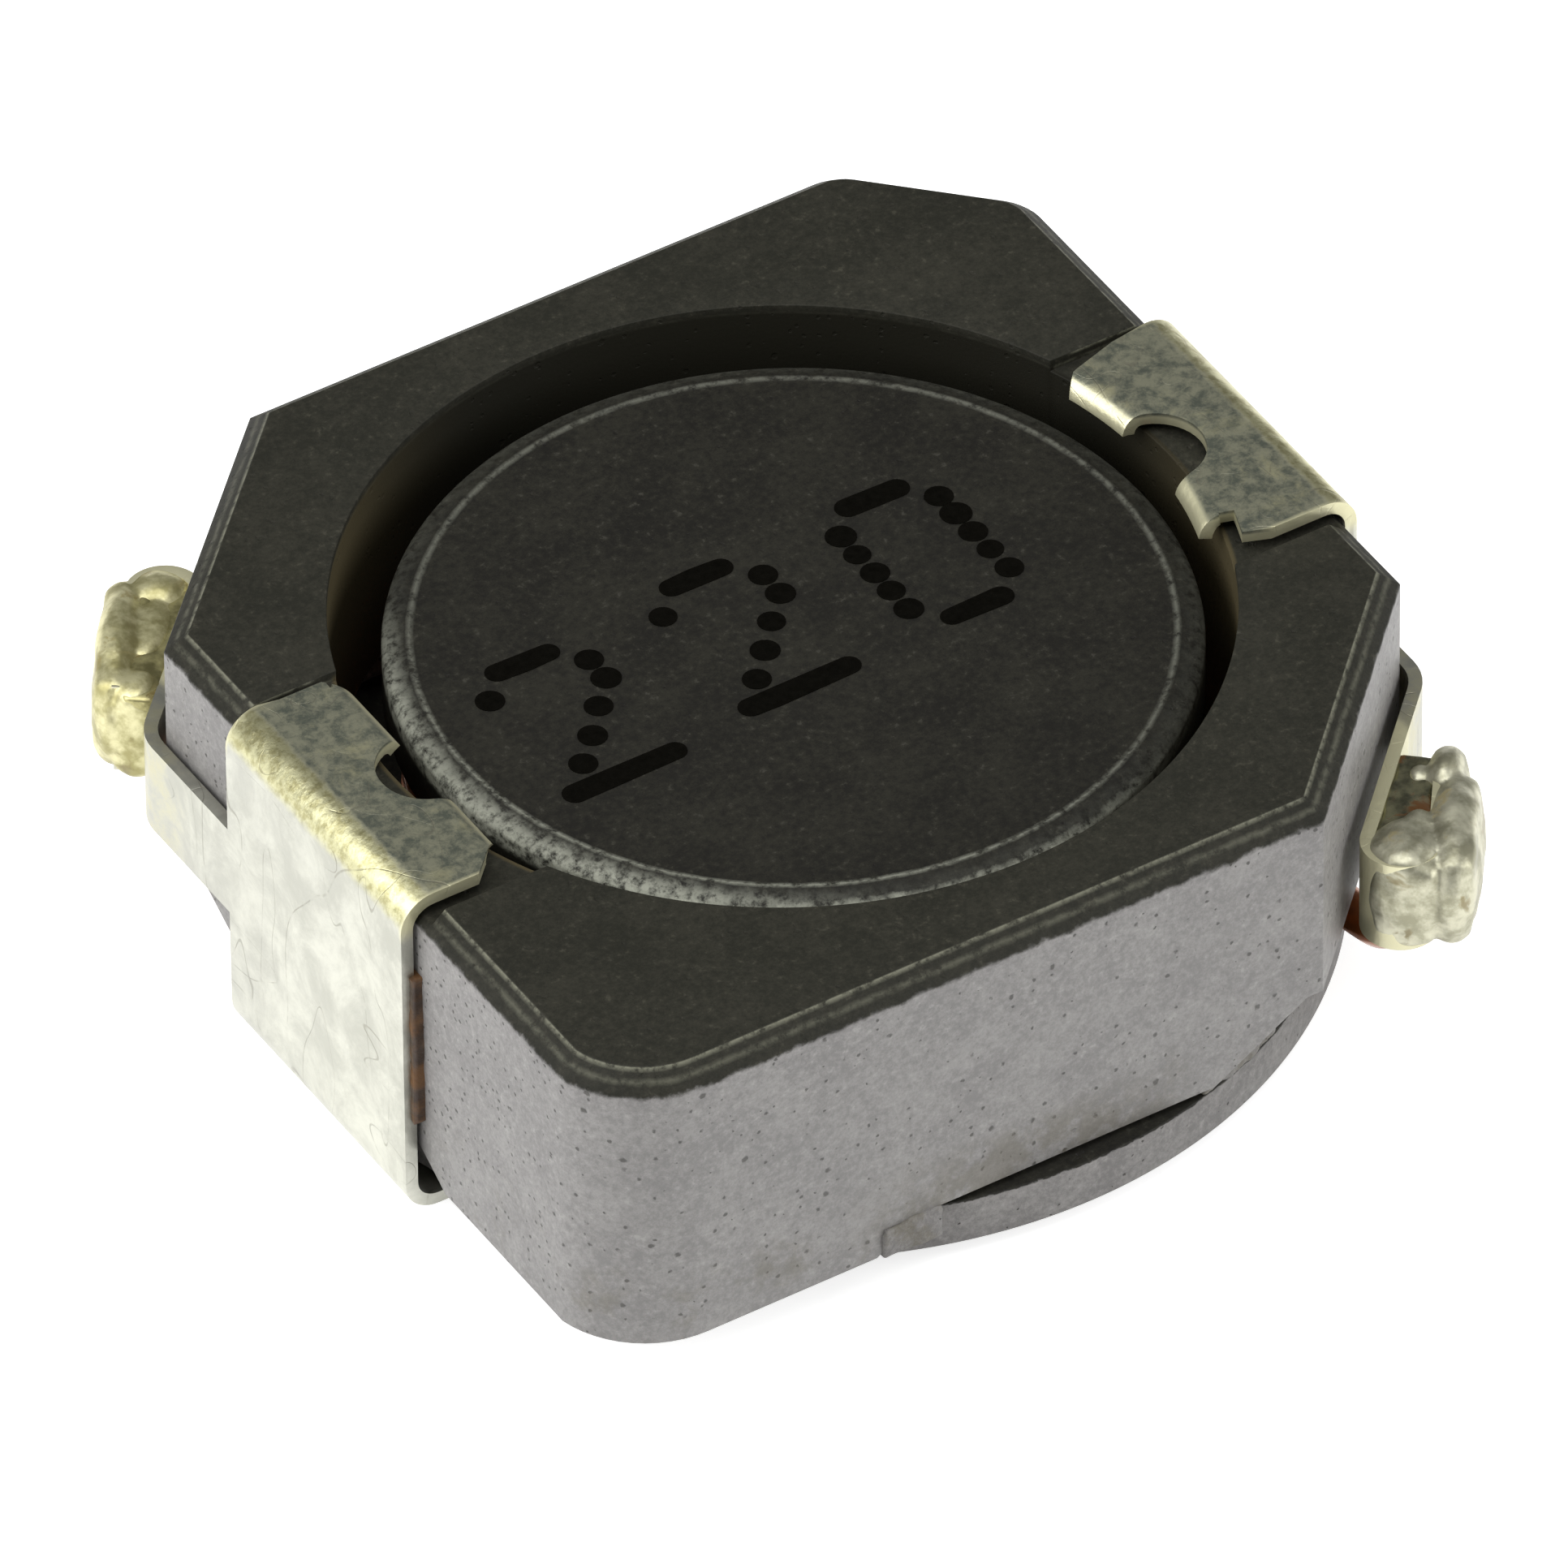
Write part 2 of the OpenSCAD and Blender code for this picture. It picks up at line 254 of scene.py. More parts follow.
def modify(piece, kind, **settings):
    """Adds a modifier and applies it."""
    take(piece)
    modifier = piece.modifiers.new(kind.title(), kind)
    for key, value in settings.items():
        setattr(modifier, key, value)
    bpy.ops.object.modifier_apply(modifier=modifier.name)


def round_edges(piece, width, segments, degrees):
    """Bevels the edges that turn by more than the degrees."""
    modify(piece, "BEVEL", width=width, segments=segments, limit_method="ANGLE",
           angle_limit=math.radians(degrees), use_clamp_overlap=True)


def cut(piece, cutter):
    modify(piece, "BOOLEAN", object=cutter, operation="DIFFERENCE", solver="EXACT")
    bpy.data.objects.remove(cutter)


def join(*pieces):
    take(*pieces)
    bpy.ops.object.join()
    return bpy.context.object


def clean(piece):
    """Merges doubles and turns every face outwards."""
    edit(piece, "VERT")
    take_all()
    bpy.ops.mesh.remove_doubles(threshold=MERGE)
    bpy.ops.mesh.normals_make_consistent(inside=False)
    leave_edit()


def turn_half(piece):
    """Turns a piece half round, from the right side to the left."""
    piece.rotation_euler = (0, 0, math.pi)
    place(piece)


def at_cut_corner(piece):
    """Moves a piece built round the middle of a cut face, +X along it and +Y out of it."""
    piece.matrix_world = Matrix.Rotation(math.radians(-135), 4, "Z") @ Matrix.Translation((0, CUT_FACE, 0))
    place(piece)


def rough(piece, size, depth, middle=0.5):
    """Moves the surface a little along its normals by a cloud pattern."""
    clouds = bpy.data.textures.new(piece.name + "_relief", "CLOUDS")
    clouds.noise_scale = size
    clouds.noise_depth = 2
    modify(piece, "DISPLACE", texture=clouds, strength=depth, mid_level=middle, texture_coords="OBJECT")


def toward(azimuth, elevation):
    """The direction at these angles, azimuth counted from the front to the right."""
    level = math.cos(elevation)
    return Vector((math.sin(azimuth) * level, -math.cos(azimuth) * level, math.sin(elevation)))


def finish_piece(piece, material, node=None, angle=35):
    """Turns millimetres into metres, smooths, gives the finish and ties the piece to the frame."""
    piece.scale = (MM, MM, MM)
    place(piece)
    take(piece)
    bpy.ops.object.shade_smooth_by_angle(angle=math.radians(angle))
    piece.data.materials.clear()
    piece.data.materials.append(material)
    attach(piece, "root")
    if node:
        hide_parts(node)


# --- Shader helpers and shared effects ---


def rgb(colour):
    """A written sRGB colour, 0 to 255, as the linear colour that a shader takes."""
    linear = [(c / 255 / 12.92) if c <= 10 else ((c / 255 + 0.055) / 1.055) ** 2.4 for c in colour]
    return (*linear, 1.0)


class Nodes:
    """Adds and links shader nodes in one tree, whose patterns read one place.

    A value is a socket or a plain number.
    """

    def __init__(self, tree):
        self.tree = tree
        self.place = None

    def add(self, kind, **settings):
        node = self.tree.nodes.new(kind)
        for key, value in settings.items():
            setattr(node, key, value)
        return node

    def link(self, value, socket):
        if isinstance(value, bpy.types.NodeSocket):
            self.tree.links.new(value, socket)
        elif value is not None:
            socket.default_value = value

    def fill(self, sockets, **values):
        """Links or sets sockets by name, an underscore standing for a space."""
        for key, value in values.items():
            self.link(value, sockets[key.replace("_", " ")])

    def math(self, operation, a, b=None, c=None, clamp=False):
        node = self.add("ShaderNodeMath", operation=operation, use_clamp=clamp)
        for socket, value in zip(node.inputs, (a, b, c)):
            self.link(value, socket)
        return node.outputs[0]

    def plus(self, a, b):
        return self.math("ADD", a, b)

    def minus(self, a, b):
        return self.math("SUBTRACT", a, b)

    def times(self, product, *factors):
        for factor in factors:
            product = self.math("MULTIPLY", product, factor)
        return product

    def times_plus(self, a, b, c):
        return self.math("MULTIPLY_ADD", a, b, c)

    def most(self, largest, *values):
        for value in values:
            largest = self.math("MAXIMUM", largest, value)
        return largest

    def absolute(self, value):
        return self.math("ABSOLUTE", value)

    def radius(self, x, y):
        return self.math("SQRT", self.plus(self.times(x, x), self.times(y, y)))

    def mix(self, share, a, b):
        """Goes from a to b, each a socket or a written sRGB colour."""
        node = self.add("ShaderNodeMix", data_type="RGBA")
        self.link(share, node.inputs[0])
        for colour, socket in ((a, node.inputs[6]), (b, node.inputs[7])):
            self.link(rgb(colour) if isinstance(colour, tuple) else colour, socket)
        return node.outputs[2]

    def noise(self, scale, detail=3.0, roughness=0.5, distortion=0.0):
        node = self.add("ShaderNodeTexNoise")
        self.fill(node.inputs, Vector=self.place, Scale=scale, Detail=detail)
        self.fill(node.inputs, Roughness=roughness, Distortion=distortion)
        return node.outputs["Fac"]

    def wander(self, scale, detail, width):
        """Strays to both sides of zero, by up to half the width."""
        return self.times(self.minus(self.noise(scale, detail, 0.7), 0.5), width)

    def ramp(self, value, low, high):
        """0 at low, 1 at high, eased between."""
        node = self.add("ShaderNodeMapRange", interpolation_type="SMOOTHSTEP")
        self.fill(node.inputs, Value=value, From_Min=low, From_Max=high)
        return node.outputs["Result"]

    def fade(self, value, low, high):
        """1 at low, 0 at high, eased between."""
        return self.minus(1.0, self.ramp(value, low, high))

    def band(self, value, middle, width):
        """1 where value is at middle, falling to 0 at width away."""
        apart = self.absolute(self.minus(value, middle))
        return self.math("SUBTRACT", 1.0, self.math("DIVIDE", apart, width), clamp=True)

    def bump(self, height, distance_mm, strength):
        node = self.add("ShaderNodeBump")
        self.fill(node.inputs, Strength=strength, Distance=distance_mm * MM, Height=height)
        return node.outputs[0]

    def group(self, name, **values):
        node = self.add("ShaderNodeGroup", node_tree=bpy.data.node_groups[name])
        self.fill(node.inputs, Place=self.place, **values)
        return node.outputs

    def xyz(self, vector):
        node = self.add("ShaderNodeSeparateXYZ")
        self.link(vector, node.inputs[0])
        return node.outputs


def new_group(name, values, outputs):
    """A shader group that takes a place and values with these defaults, and the Nodes to fill it."""
    tree = bpy.data.node_groups.new(name, "ShaderNodeTree")
    tree.interface.new_socket("Place", in_out="INPUT", socket_type="NodeSocketVector")
    for label, value in values.items():
        socket = tree.interface.new_socket(label, in_out="INPUT", socket_type="NodeSocketFloat")
        socket.default_value = value
    for label in outputs:
        tree.interface.new_socket(label, in_out="OUTPUT", socket_type="NodeSocketFloat")
    made = Nodes(tree)
    given = made.add("NodeGroupInput").outputs
    made.place = given["Place"]
    return made, given, made.add("NodeGroupOutput").inputs


def make_grain_group():
    """Sintered grain: dark pores of two sizes, pale flecks, mottling and a height."""
    made, given, out = new_group("Sintered Grain", {"Pores": 0.5}, ("Pores", "Flecks", "Mottle", "Height"))
    wander = made.add("ShaderNodeTexNoise")
    made.fill(wander.inputs, Vector=made.place, Scale=22.0)
    strayed = made.add("ShaderNodeVectorMath", operation="MULTIPLY_ADD")
    for socket, value in zip(strayed.inputs, (wander.outputs["Color"], (0.05, 0.05, 0.03), made.place)):
        made.link(value, socket)

    def pores(scale, widest):
        cells = made.add("ShaderNodeTexVoronoi", feature="F1")
        made.fill(cells.inputs, Vector=strayed.outputs[0], Scale=scale)
        chance = made.ramp(made.xyz(cells.outputs["Color"])[0], 0.2, 1.0)
        size = made.times_plus(made.times(chance, given["Pores"]), widest, 0.002)
        return made.fade(cells.outputs["Distance"], made.times(size, 0.5), size)

    every = made.most(pores(4.5, 0.27), pores(9.0, 0.36))
    broad = made.noise(1.4, 4.0, 0.6)
    fine = made.noise(12.0, 4.0, 0.85)
    made.fill(
        out,
        Pores=every,
        Flecks=made.ramp(made.noise(12.0, 3.0, 0.65), 0.6, 0.76),
        Mottle=made.times_plus(broad, 0.3, made.times(fine, 0.7)),
        Height=made.minus(made.times(made.noise(24.0, 4.0, 0.7), 0.5), every),
    )


def make_wear_group():
    """A worn line where a distance is near zero, broken up by noise."""
    made, given, out = new_group("Worn Line", {"Distance": 0.0, "Width": 0.05, "Ragged": 0.03}, ("Mask",))
    moved = made.plus(given["Distance"], made.wander(5.0, 5.0, made.times(given["Ragged"], 2)))
    broken = made.ramp(made.noise(9.0, 4.0, 0.7), 0.3, 0.6)
    made.fill(out, Mask=made.times(made.band(moved, 0.0, given["Width"]), broken))


def make_scratch_group():
    """Fine curved scratches, smudges and dents on soft tin."""
    made, given, out = new_group("Tin Handling", {}, ("Scratches", "Smudge", "Height"))

    def scratch(turn, stretch, scale, level):
        mapped = made.add("ShaderNodeMapping")
        made.fill(mapped.inputs, Vector=given["Place"], Rotation=turn, Scale=stretch)
        made.place = mapped.outputs[0]
        wave = made.noise(scale, 1.0, 0.4)
        made.place = given["Place"]
        return made.fade(made.absolute(made.minus(wave, level)), 0.001, 0.004)

    lines = made.most(
        scratch((0.3, 0, 0.1), (1, 0.7, 0.4), 0.9, 0.5),
        scratch((-0.7, 0.2, 0), (1, 0.4, 1.1), 1.2, 0.45),
        scratch((1.1, 0, 0.6), (1, 1, 0.3), 1.6, 0.54),
    )
    scratches = made.times(lines, made.ramp(made.noise(1.1, 4.0, 0.7), 0.43, 0.54))
    made.fill(
        out,
        Scratches=scratches,
        Smudge=made.noise(1.6, 6.0, 0.7, 0.4),
        Height=made.minus(made.noise(3.0, 5.0, 0.6), made.times(scratches, 0.15)),
    )


def new_material(name):
    """An empty material and the Nodes to fill it."""
    material = bpy.data.materials.new(name)
    material.use_nodes = True
    material.node_tree.nodes.clear()
    return material, Nodes(material.node_tree)


def principled(name):
    """A material that reads Object coordinates in millimetres, its Nodes and its shader's sockets."""
    material, made = new_material(name)
    shader = made.add("ShaderNodeBsdfPrincipled")
    made.link(shader.outputs[0], made.add("ShaderNodeOutputMaterial").inputs[0])
    scaled = made.add("ShaderNodeVectorMath", operation="SCALE")
    made.link(made.add("ShaderNodeTexCoord").outputs["Object"], scaled.inputs[0])
    made.fill(scaled.inputs, Scale=1 / MM)
    made.place = scaled.outputs[0]
    return material, made, shader.inputs


# --- Finishes ---


def ferrite_colour(made, grain, dark, pale, flecks, fleck, pores=0.0, pore=None):
    """Mottled ferrite under a share of pores and a share of pale flecks."""
    colour = made.mix(made.ramp(grain["Mottle"], 0.38, 0.62), dark, pale)
    if pores:
        colour = made.mix(made.times(grain["Pores"], pores), colour, pore)
    return made.mix(made.times(grain["Flecks"], flecks), colour, fleck)


def painted_pale_side_colour(made, grain):
    """A ferrite side painted paler than the top, a painted reflection of the white floor, with the
    ferrite's own pores, flecks and mottling.
    """
    return ferrite_colour(
        made, grain, (117, 115, 114), (141, 139, 137), 0.25, (176, 174, 170), pores=0.85, pore=(54, 52, 48)
    )


def worn_line(made, distance, width, ragged):
    return made.group("Worn Line", Distance=distance, Width=width, Ragged=ragged)["Mask"]


def ring_ferrite():
    """Dark top and sides painted paler, a painted reflection of the white floor on one ferrite; a worn
    double line along the bevel; the bore's wall painted darker towards the back, painted shade.
    """
    material, made, shader = principled("ring_ferrite")
    x, y, z = made.xyz(made.place)
    grain = made.group("Sintered Grain", Pores=0.7)
    radius = made.radius(x, y)
    outside = made.ramp(radius, BORE_R + 0.15, BORE_R + 0.3)
    # Below the bevel the ring takes the side colour, painted paler than the top as a painted reflection of
    # the white floor
    shoulder = RING_TOP - BEVEL_H
    height = made.plus(z, made.wander(4.0, 6.0, 0.16))
    side = made.times(made.fade(height, shoulder - 0.05, shoulder + 0.01), outside)
    top = ferrite_colour(made, grain, (32, 32, 26), (45, 44, 37), 0.2, (92, 90, 78))

    slit_z = UNDERSIDE_Z + 0.1
    dirt = made.times(made.ramp(made.noise(1.6, 5.0, 0.65), 0.5, 0.66), made.band(z, slit_z, 0.75))
    near_slit = made.times(made.band(z, slit_z, 0.6), made.band(x, -0.6, 2.0))
    near_slit = made.math("MULTIPLY", near_slit, 2.2, clamp=True)
    stain = made.times(near_slit, made.fade(y, -HALF + 0.1, -HALF + 0.3))
    stain = made.times(stain, made.ramp(made.noise(3.2, 6.0, 0.7), 0.36, 0.56))
    soiled = made.times(made.most(dirt, stain), 0.55)
    colour = made.mix(side, top, made.mix(soiled, painted_pale_side_colour(made, grain), (96, 91, 78)))

    rim_z = RING_TOP - 0.012
    upper = worn_line(made, made.minus(z, rim_z), 0.03, 0.004)
    upper = made.times(upper, made.fade(z, rim_z, RING_TOP - 0.003), outside)
    lower = worn_line(made, made.minus(z, RING_TOP - 0.1), 0.03, 0.02)
    colour = made.mix(made.most(made.times(upper, 0.75), made.times(lower, 0.3)), colour, (128, 128, 112))

    # The bore's wall is brownish ferrite, painted darker towards the back, where less light reaches into
    # the bore: painted shade
    bore = made.fade(radius, BORE_R + 0.02, BORE_R + 0.06)
    below = made.fade(z, RING_TOP - 0.12, RING_TOP - 0.02)
    behind = made.times_plus(x, 0.53, made.times(y, 0.85))
    bore_wall_and_painted_shade = made.mix(made.ramp(behind, 0.6, 3.2), (70, 63, 44), (26, 25, 18))
    made.fill(
        shader,
        Base_Color=made.mix(made.times(bore, below), colour, bore_wall_and_painted_shade),
        Roughness=made.times_plus(side, -0.12, 0.62),
        Specular_IOR_Level=made.times_plus(side, 0.34, 0.16),
        Normal=made.bump(grain["Height"], 0.012, 0.6),
    )
    return material


def drum_ferrite():
    """Dark drum with a rim rubbed pale, most of all towards the front left."""
    material, made, shader = principled("drum_ferrite")
    x, y, z = made.xyz(made.place)
    grain = made.group("Sintered Grain", Pores=0.45)
    dx = made.minus(x, DRUM_X)
    dy = made.minus(y, DRUM_Y)
    radius = made.radius(dx, dy)
    colour = ferrite_colour(made, grain, (24, 23, 20), (38, 37, 31), 0.18, (96, 94, 88))
    front = made.ramp(made.plus(made.times(dx, -0.7), made.times(dy, -0.7)), 0.4, 3.3)
    left = made.ramp(made.plus(made.times(dx, -0.97), made.times(dy, -0.23)), 2.0, 3.6)
    high = made.ramp(z, DRUM_TOP - 0.3, DRUM_TOP - 0.2)

    def worn_ring(inward, width, ragged, share):
        line = worn_line(made, made.minus(radius, RIM_R - inward), width, ragged)
        return made.times(line, share)

    worn = made.most(
        worn_ring(0.04, 0.19, 0.08, made.times_plus(left, 0.75, 0.08)),
        worn_ring(0.0, 0.09, 0.07, made.times_plus(front, 0.9, 0.1)),
        worn_ring(0.26, 0.045, 0.012, made.times_plus(front, 0.3, 0.22)),
    )
    colour = made.mix(made.times(worn, high), colour, (168, 170, 156))
    # The lower flange's side, below a ragged line, takes the side colour, painted paler as a painted
    # reflection of the white floor
    ragged_z = made.plus(z, made.wander(6.0, 5.0, 0.1))
    low = made.fade(ragged_z, LOW_FLANGE_TOP - 0.035, LOW_FLANGE_TOP - 0.015)
    edge = made.times(low, made.ramp(radius, LOW_FLANGE_R - 0.35, LOW_FLANGE_R - 0.1))
    made.fill(
        shader,
        Base_Color=made.mix(edge, colour, painted_pale_side_colour(made, grain)),
        Roughness=made.times_plus(grain["Mottle"], 0.15, 0.5),
        Specular_IOR_Level=0.16,
        Normal=made.bump(grain["Height"], 0.012, 0.6),
    )
    return material


def tinned_sheet():
    """Soft tin: walls painted pale and tab tops painted dark grey-green, a painted reflection of the white
    floor and of the dimmer space above; pale cream painted highlights on edges, lip, wings and hooks;
    yellowed folds, fine scratches.
    """
    material, made, shader = principled("tinned_sheet")
    x, y, z = made.xyz(made.place)
    marks = made.group("Tin Handling")
    smudge = marks["Smudge"]
    # One tin is painted in two levels, pale on the walls and dark on the tab tops, a painted reflection of
    # the white floor and of the dimmer space above; the smudges and streaks in each are real handling
    bright = made.mix(made.ramp(smudge, 0.35, 0.7), (174, 174, 164), (203, 203, 192))
    streaks = made.ramp(made.noise(6.5, 8.0, 0.75, 0.2), 0.36, 0.62)
    dull = made.mix(streaks, (95, 100, 90), (146, 146, 126))
    dull = made.mix(made.times(made.ramp(smudge, 0.52, 0.7), 0.6), dull, (172, 168, 134))

    across = made.absolute(x)
    wander = made.wander(7.0, 5.0, 0.12)
    at_fold = (made.plus(across, wander), WALL_OUT - 0.34, WALL_OUT - 0.26)
    top = made.times(made.ramp(z, CLIP_TOP - 0.06, CLIP_TOP - 0.02), made.fade(*at_fold))
    colour = made.mix(top, bright, dull)
    bent = made.times(made.ramp(made.plus(z, wander), CLIP_TOP - 0.34, CLIP_TOP - 0.2), made.ramp(*at_fold))
    tone = made.ramp(made.noise(9.0, 4.0, 0.7), 0.35, 0.6)
    colour = made.mix(made.times(bent, 0.85), colour, made.mix(tone, (160, 154, 104), (202, 199, 155)))
    yellowed = made.times(made.ramp(made.absolute(y), 1.9, 2.4), made.ramp(smudge, 0.4, 0.65), 0.6)
    colour = made.mix(yellowed, colour, (190, 184, 142))
    colour = made.mix(made.times(marks["Scratches"], 0.45), colour, (118, 114, 100))

    # A pale, less metallic cream is painted on the sheet's edges near the top and on all of the sheet lower
    # than the tab's top and more than 0.6 mm in from the walls' outside (the turned-down lip, the wings
    # along the cut corners, the hooks): painted highlight where these catch the light
    middle_y = made.times_plus(made.ramp(x, -0.1, 0.1), RIGHT["shift"] + LEFT["shift"], -LEFT["shift"])
    rim = made.band(made.absolute(made.minus(y, middle_y)), CLIP_W / 2, 0.045)
    rim = made.times(rim, made.ramp(z, CLIP_TOP - 0.5, CLIP_TOP - 0.3))
    lip = made.fade(z, CLIP_TOP - 0.05, CLIP_TOP - 0.015)
    lip = made.times(lip, made.fade(across, WALL_OUT - 0.6, WALL_OUT - 0.5))
    cream_highlight = made.most(rim, lip)
    made.fill(
        shader,
        Base_Color=made.mix(made.times(cream_highlight, 0.9), colour, (214, 210, 174)),
        Metallic=made.minus(1.0, made.times(made.most(top, cream_highlight), 0.3)),
        Roughness=made.times_plus(smudge, 0.25, 0.25),
        Normal=made.bump(marks["Height"], 0.03, 0.5),
    )
    return material


def solder_metal(name, dark, bright, flux, cover, roughness):
    """Frozen solder with patches of flux."""
    material, made, shader = principled(name)
    bare = 0.62 - cover * 0.3
    patch = made.ramp(made.noise(2.4, 4.0, 0.6, 0.5), bare, bare + 0.1)
    metal = made.mix(made.ramp(made.noise(4.0, 4.0, 0.6), 0.35, 0.65), dark, bright)
    made.fill(
        shader,
        Base_Color=made.mix(patch, metal, flux),
        Metallic=made.minus(0.85, made.times(patch, 0.7)),
        Roughness=made.times_plus(patch, -0.1, roughness),
        Normal=made.bump(made.noise(3.0, 4.0, 0.5), 0.04, 0.5),
    )
    return material


def copper_wire():
    """Enamelled copper, uneven in tone."""
    material, made, shader = principled("copper_wire")
    tone = made.noise(3.0, 4.0, 0.6)
    made.fill(
        shader,
        Base_Color=made.mix(tone, (120, 62, 26), (206, 122, 66)),
        Metallic=0.8,
        Roughness=made.times_plus(tone, 0.2, 0.25),
        Coat_Weight=0.5,
        Normal=made.bump(made.noise(9.0, 3.0), 0.01, 0.4),
    )
    return material


def resin(name, dark, pale, roughness):
    """Cured resin, dusty in places."""
    material, made, shader = principled(name)
    tone = made.ramp(made.noise(3.5, 5.0, 0.65), 0.35, 0.65)
    made.fill(
        shader,
        Base_Color=made.mix(tone, dark, pale),
        Roughness=made.times_plus(tone, 0.2, roughness),
        Normal=made.bump(made.noise(7.0, 5.0, 0.6), 0.03, 0.6),
    )
    return material


def filler():
    """Grey filler close to the ferrite's side in colour, dirtier and rougher."""
    material, made, shader = principled("slit_filler")
    grain = made.group("Sintered Grain", Pores=0.9)
    dirt = made.ramp(made.noise(2.6, 5.0, 0.7), 0.42, 0.62)
    # The filler takes the side colour, painted paler as a painted reflection of the white floor, and is
    # darkened in dirty patches
    made.fill(
        shader,
        Base_Color=made.mix(made.times(dirt, 0.6), painted_pale_side_colour(made, grain), (104, 99, 84)),
        Roughness=0.6,
        Specular_IOR_Level=0.16,
        Normal=made.bump(grain["Height"], 0.03, 0.8),
    )
    return material


def burnt_mark():
    """The black left where each dot of the number was burnt in."""
    material, made, shader = principled("burnt_mark")
    tone = made.noise(12.0, 4.0, 0.7)
    made.fill(
        shader,
        Base_Color=made.mix(tone, (4, 4, 3), (18, 17, 14)),
        Roughness=0.9,
        Specular_IOR_Level=0.0,
        Normal=made.bump(tone, 0.02, 0.8),
    )
    return material


# --- Ring ---


def ring_blank():
    """The square block with its two large cuts, the front left arc, the small back cut and the bevel."""
    wide = HALF - math.sqrt(2 * CORNER_R * CORNER_BREAK - CORNER_BREAK**2) + CORNER_R
    shoulder = RING_TOP - BEVEL_H
    blank = block("shield_ring", (-wide, -HALF, FOOT_Z), (HALF, HALF, shoulder))
    edit(blank, "EDGE")

    def bevel_upright(x, y, offset, segments=1):
        def upright(edge):
            a, b = (v.co for v in edge.verts)
            return abs(a.z - b.z) > 1 and (a.xy - Vector((x, y))).length < 0.01

        pick(blank, "edges", upright)
        bpy.ops.mesh.bevel(offset=offset, segments=segments, affect="EDGES")

    bevel_upright(HALF, -HALF, CORNER_CUT)
    bevel_upright(-wide, HALF, CORNER_CUT + wide - HALF)
    bevel_upright(HALF, HALF, BACK_CUT)
    rounding = BACK_R * math.tan(math.radians(22.5))
    bevel_upright(HALF, HALF - BACK_CUT, rounding, 5)
    bevel_upright(HALF - BACK_CUT, HALF, rounding, 5)
    bevel_upright(-wide, -HALF, CORNER_R, 14)
    take_all()
    bpy.ops.mesh.bisect(plane_co=(-HALF, 0, 0), plane_no=(-1, 0, 0), use_fill=True, clear_outer=True)
    pick(blank, "faces", lambda f: f.normal.z > 0.9)
    bpy.ops.mesh.inset(thickness=BEVEL_W, use_even_offset=True)
    bpy.ops.transform.translate(value=(0, 0, BEVEL_H))
    leave_edit()
    return blank


def window_cutter():
    """The wedge under a cut corner that lets the wire out."""
    flank = math.tan(math.radians(49))
    half_w, inward, outward = 1.8, 2.6, 1.5
    top = UNDERSIDE_Z + 0.62
    drop = top - FOOT_Z + 1
    cutter = block("window_cutter", (-half_w, -inward, top - drop), (half_w, outward, top))
    edit(cutter, "VERT")
    for side in (-1, 1):
        pick(cutter, "verts", lambda v: v.co.z < top - 0.1 and v.co.x * side > 0)
        bpy.ops.transform.translate(value=(side * drop * flank, 0, 0))
    leave_edit()
    at_cut_corner(cutter)
    return cutter


def seat_cutter(side):
    """The shallow step that a clip's tab lies in."""
    half = CLIP_W / 2 + SEAT_PLAY
    outward = 7
    return block(
        "seat_cutter", (0, side["shift"] - half, SEAT_FLOOR), (outward, side["shift"] + half, RING_TOP + 1)
    )


def pocket_cutter():
    """The cone under the ring that leaves room round the lower flange."""
    deselect_all()
    low = FOOT_Z - 1
    slope = POCKET_FLARE / FOOT_H
    bpy.ops.mesh.primitive_cone_add(
        vertices=192,
        radius1=POCKET_R + slope * (UNDERSIDE_Z - low),
        radius2=POCKET_R,
        depth=UNDERSIDE_Z - low,
        location=(0, 0, (UNDERSIDE_Z + low) / 2),
    )
    cutter = added("pocket_cutter")
    place(cutter)
    return cutter


class INDUCTOR_OT_ring(bpy.types.Operator):
    """Model the square ferrite ring"""

    bl_idname = "inductor.ring"
    bl_label = "Ferrite ring"

    def execute(self, context):
        ring = ring_blank()
        cut(ring, rod("bore_cutter", BORE_R, -1, RING_TOP + 1))
        cut(ring, pocket_cutter())
        cut(ring, window_cutter())
        cut(ring, seat_cutter(RIGHT))
        for cutter in (window_cutter(), seat_cutter(LEFT)):
            turn_half(cutter)
            cut(ring, cutter)
        clean(ring)
        round_edges(ring, 0.03, 3, 30)
        finish_piece(ring, ring_ferrite(), "shield_core")
        return {"FINISHED"}


# --- Drum and its number ---


def grow(height, factor=1.0):
    """Extrudes the selected face, up by height and about the drum's axis by a factor."""
    extrude((0, 0, height))
    if factor != 1:
        bpy.ops.transform.resize(value=(factor, factor, 1), center_override=(DRUM_X, DRUM_Y, 0))


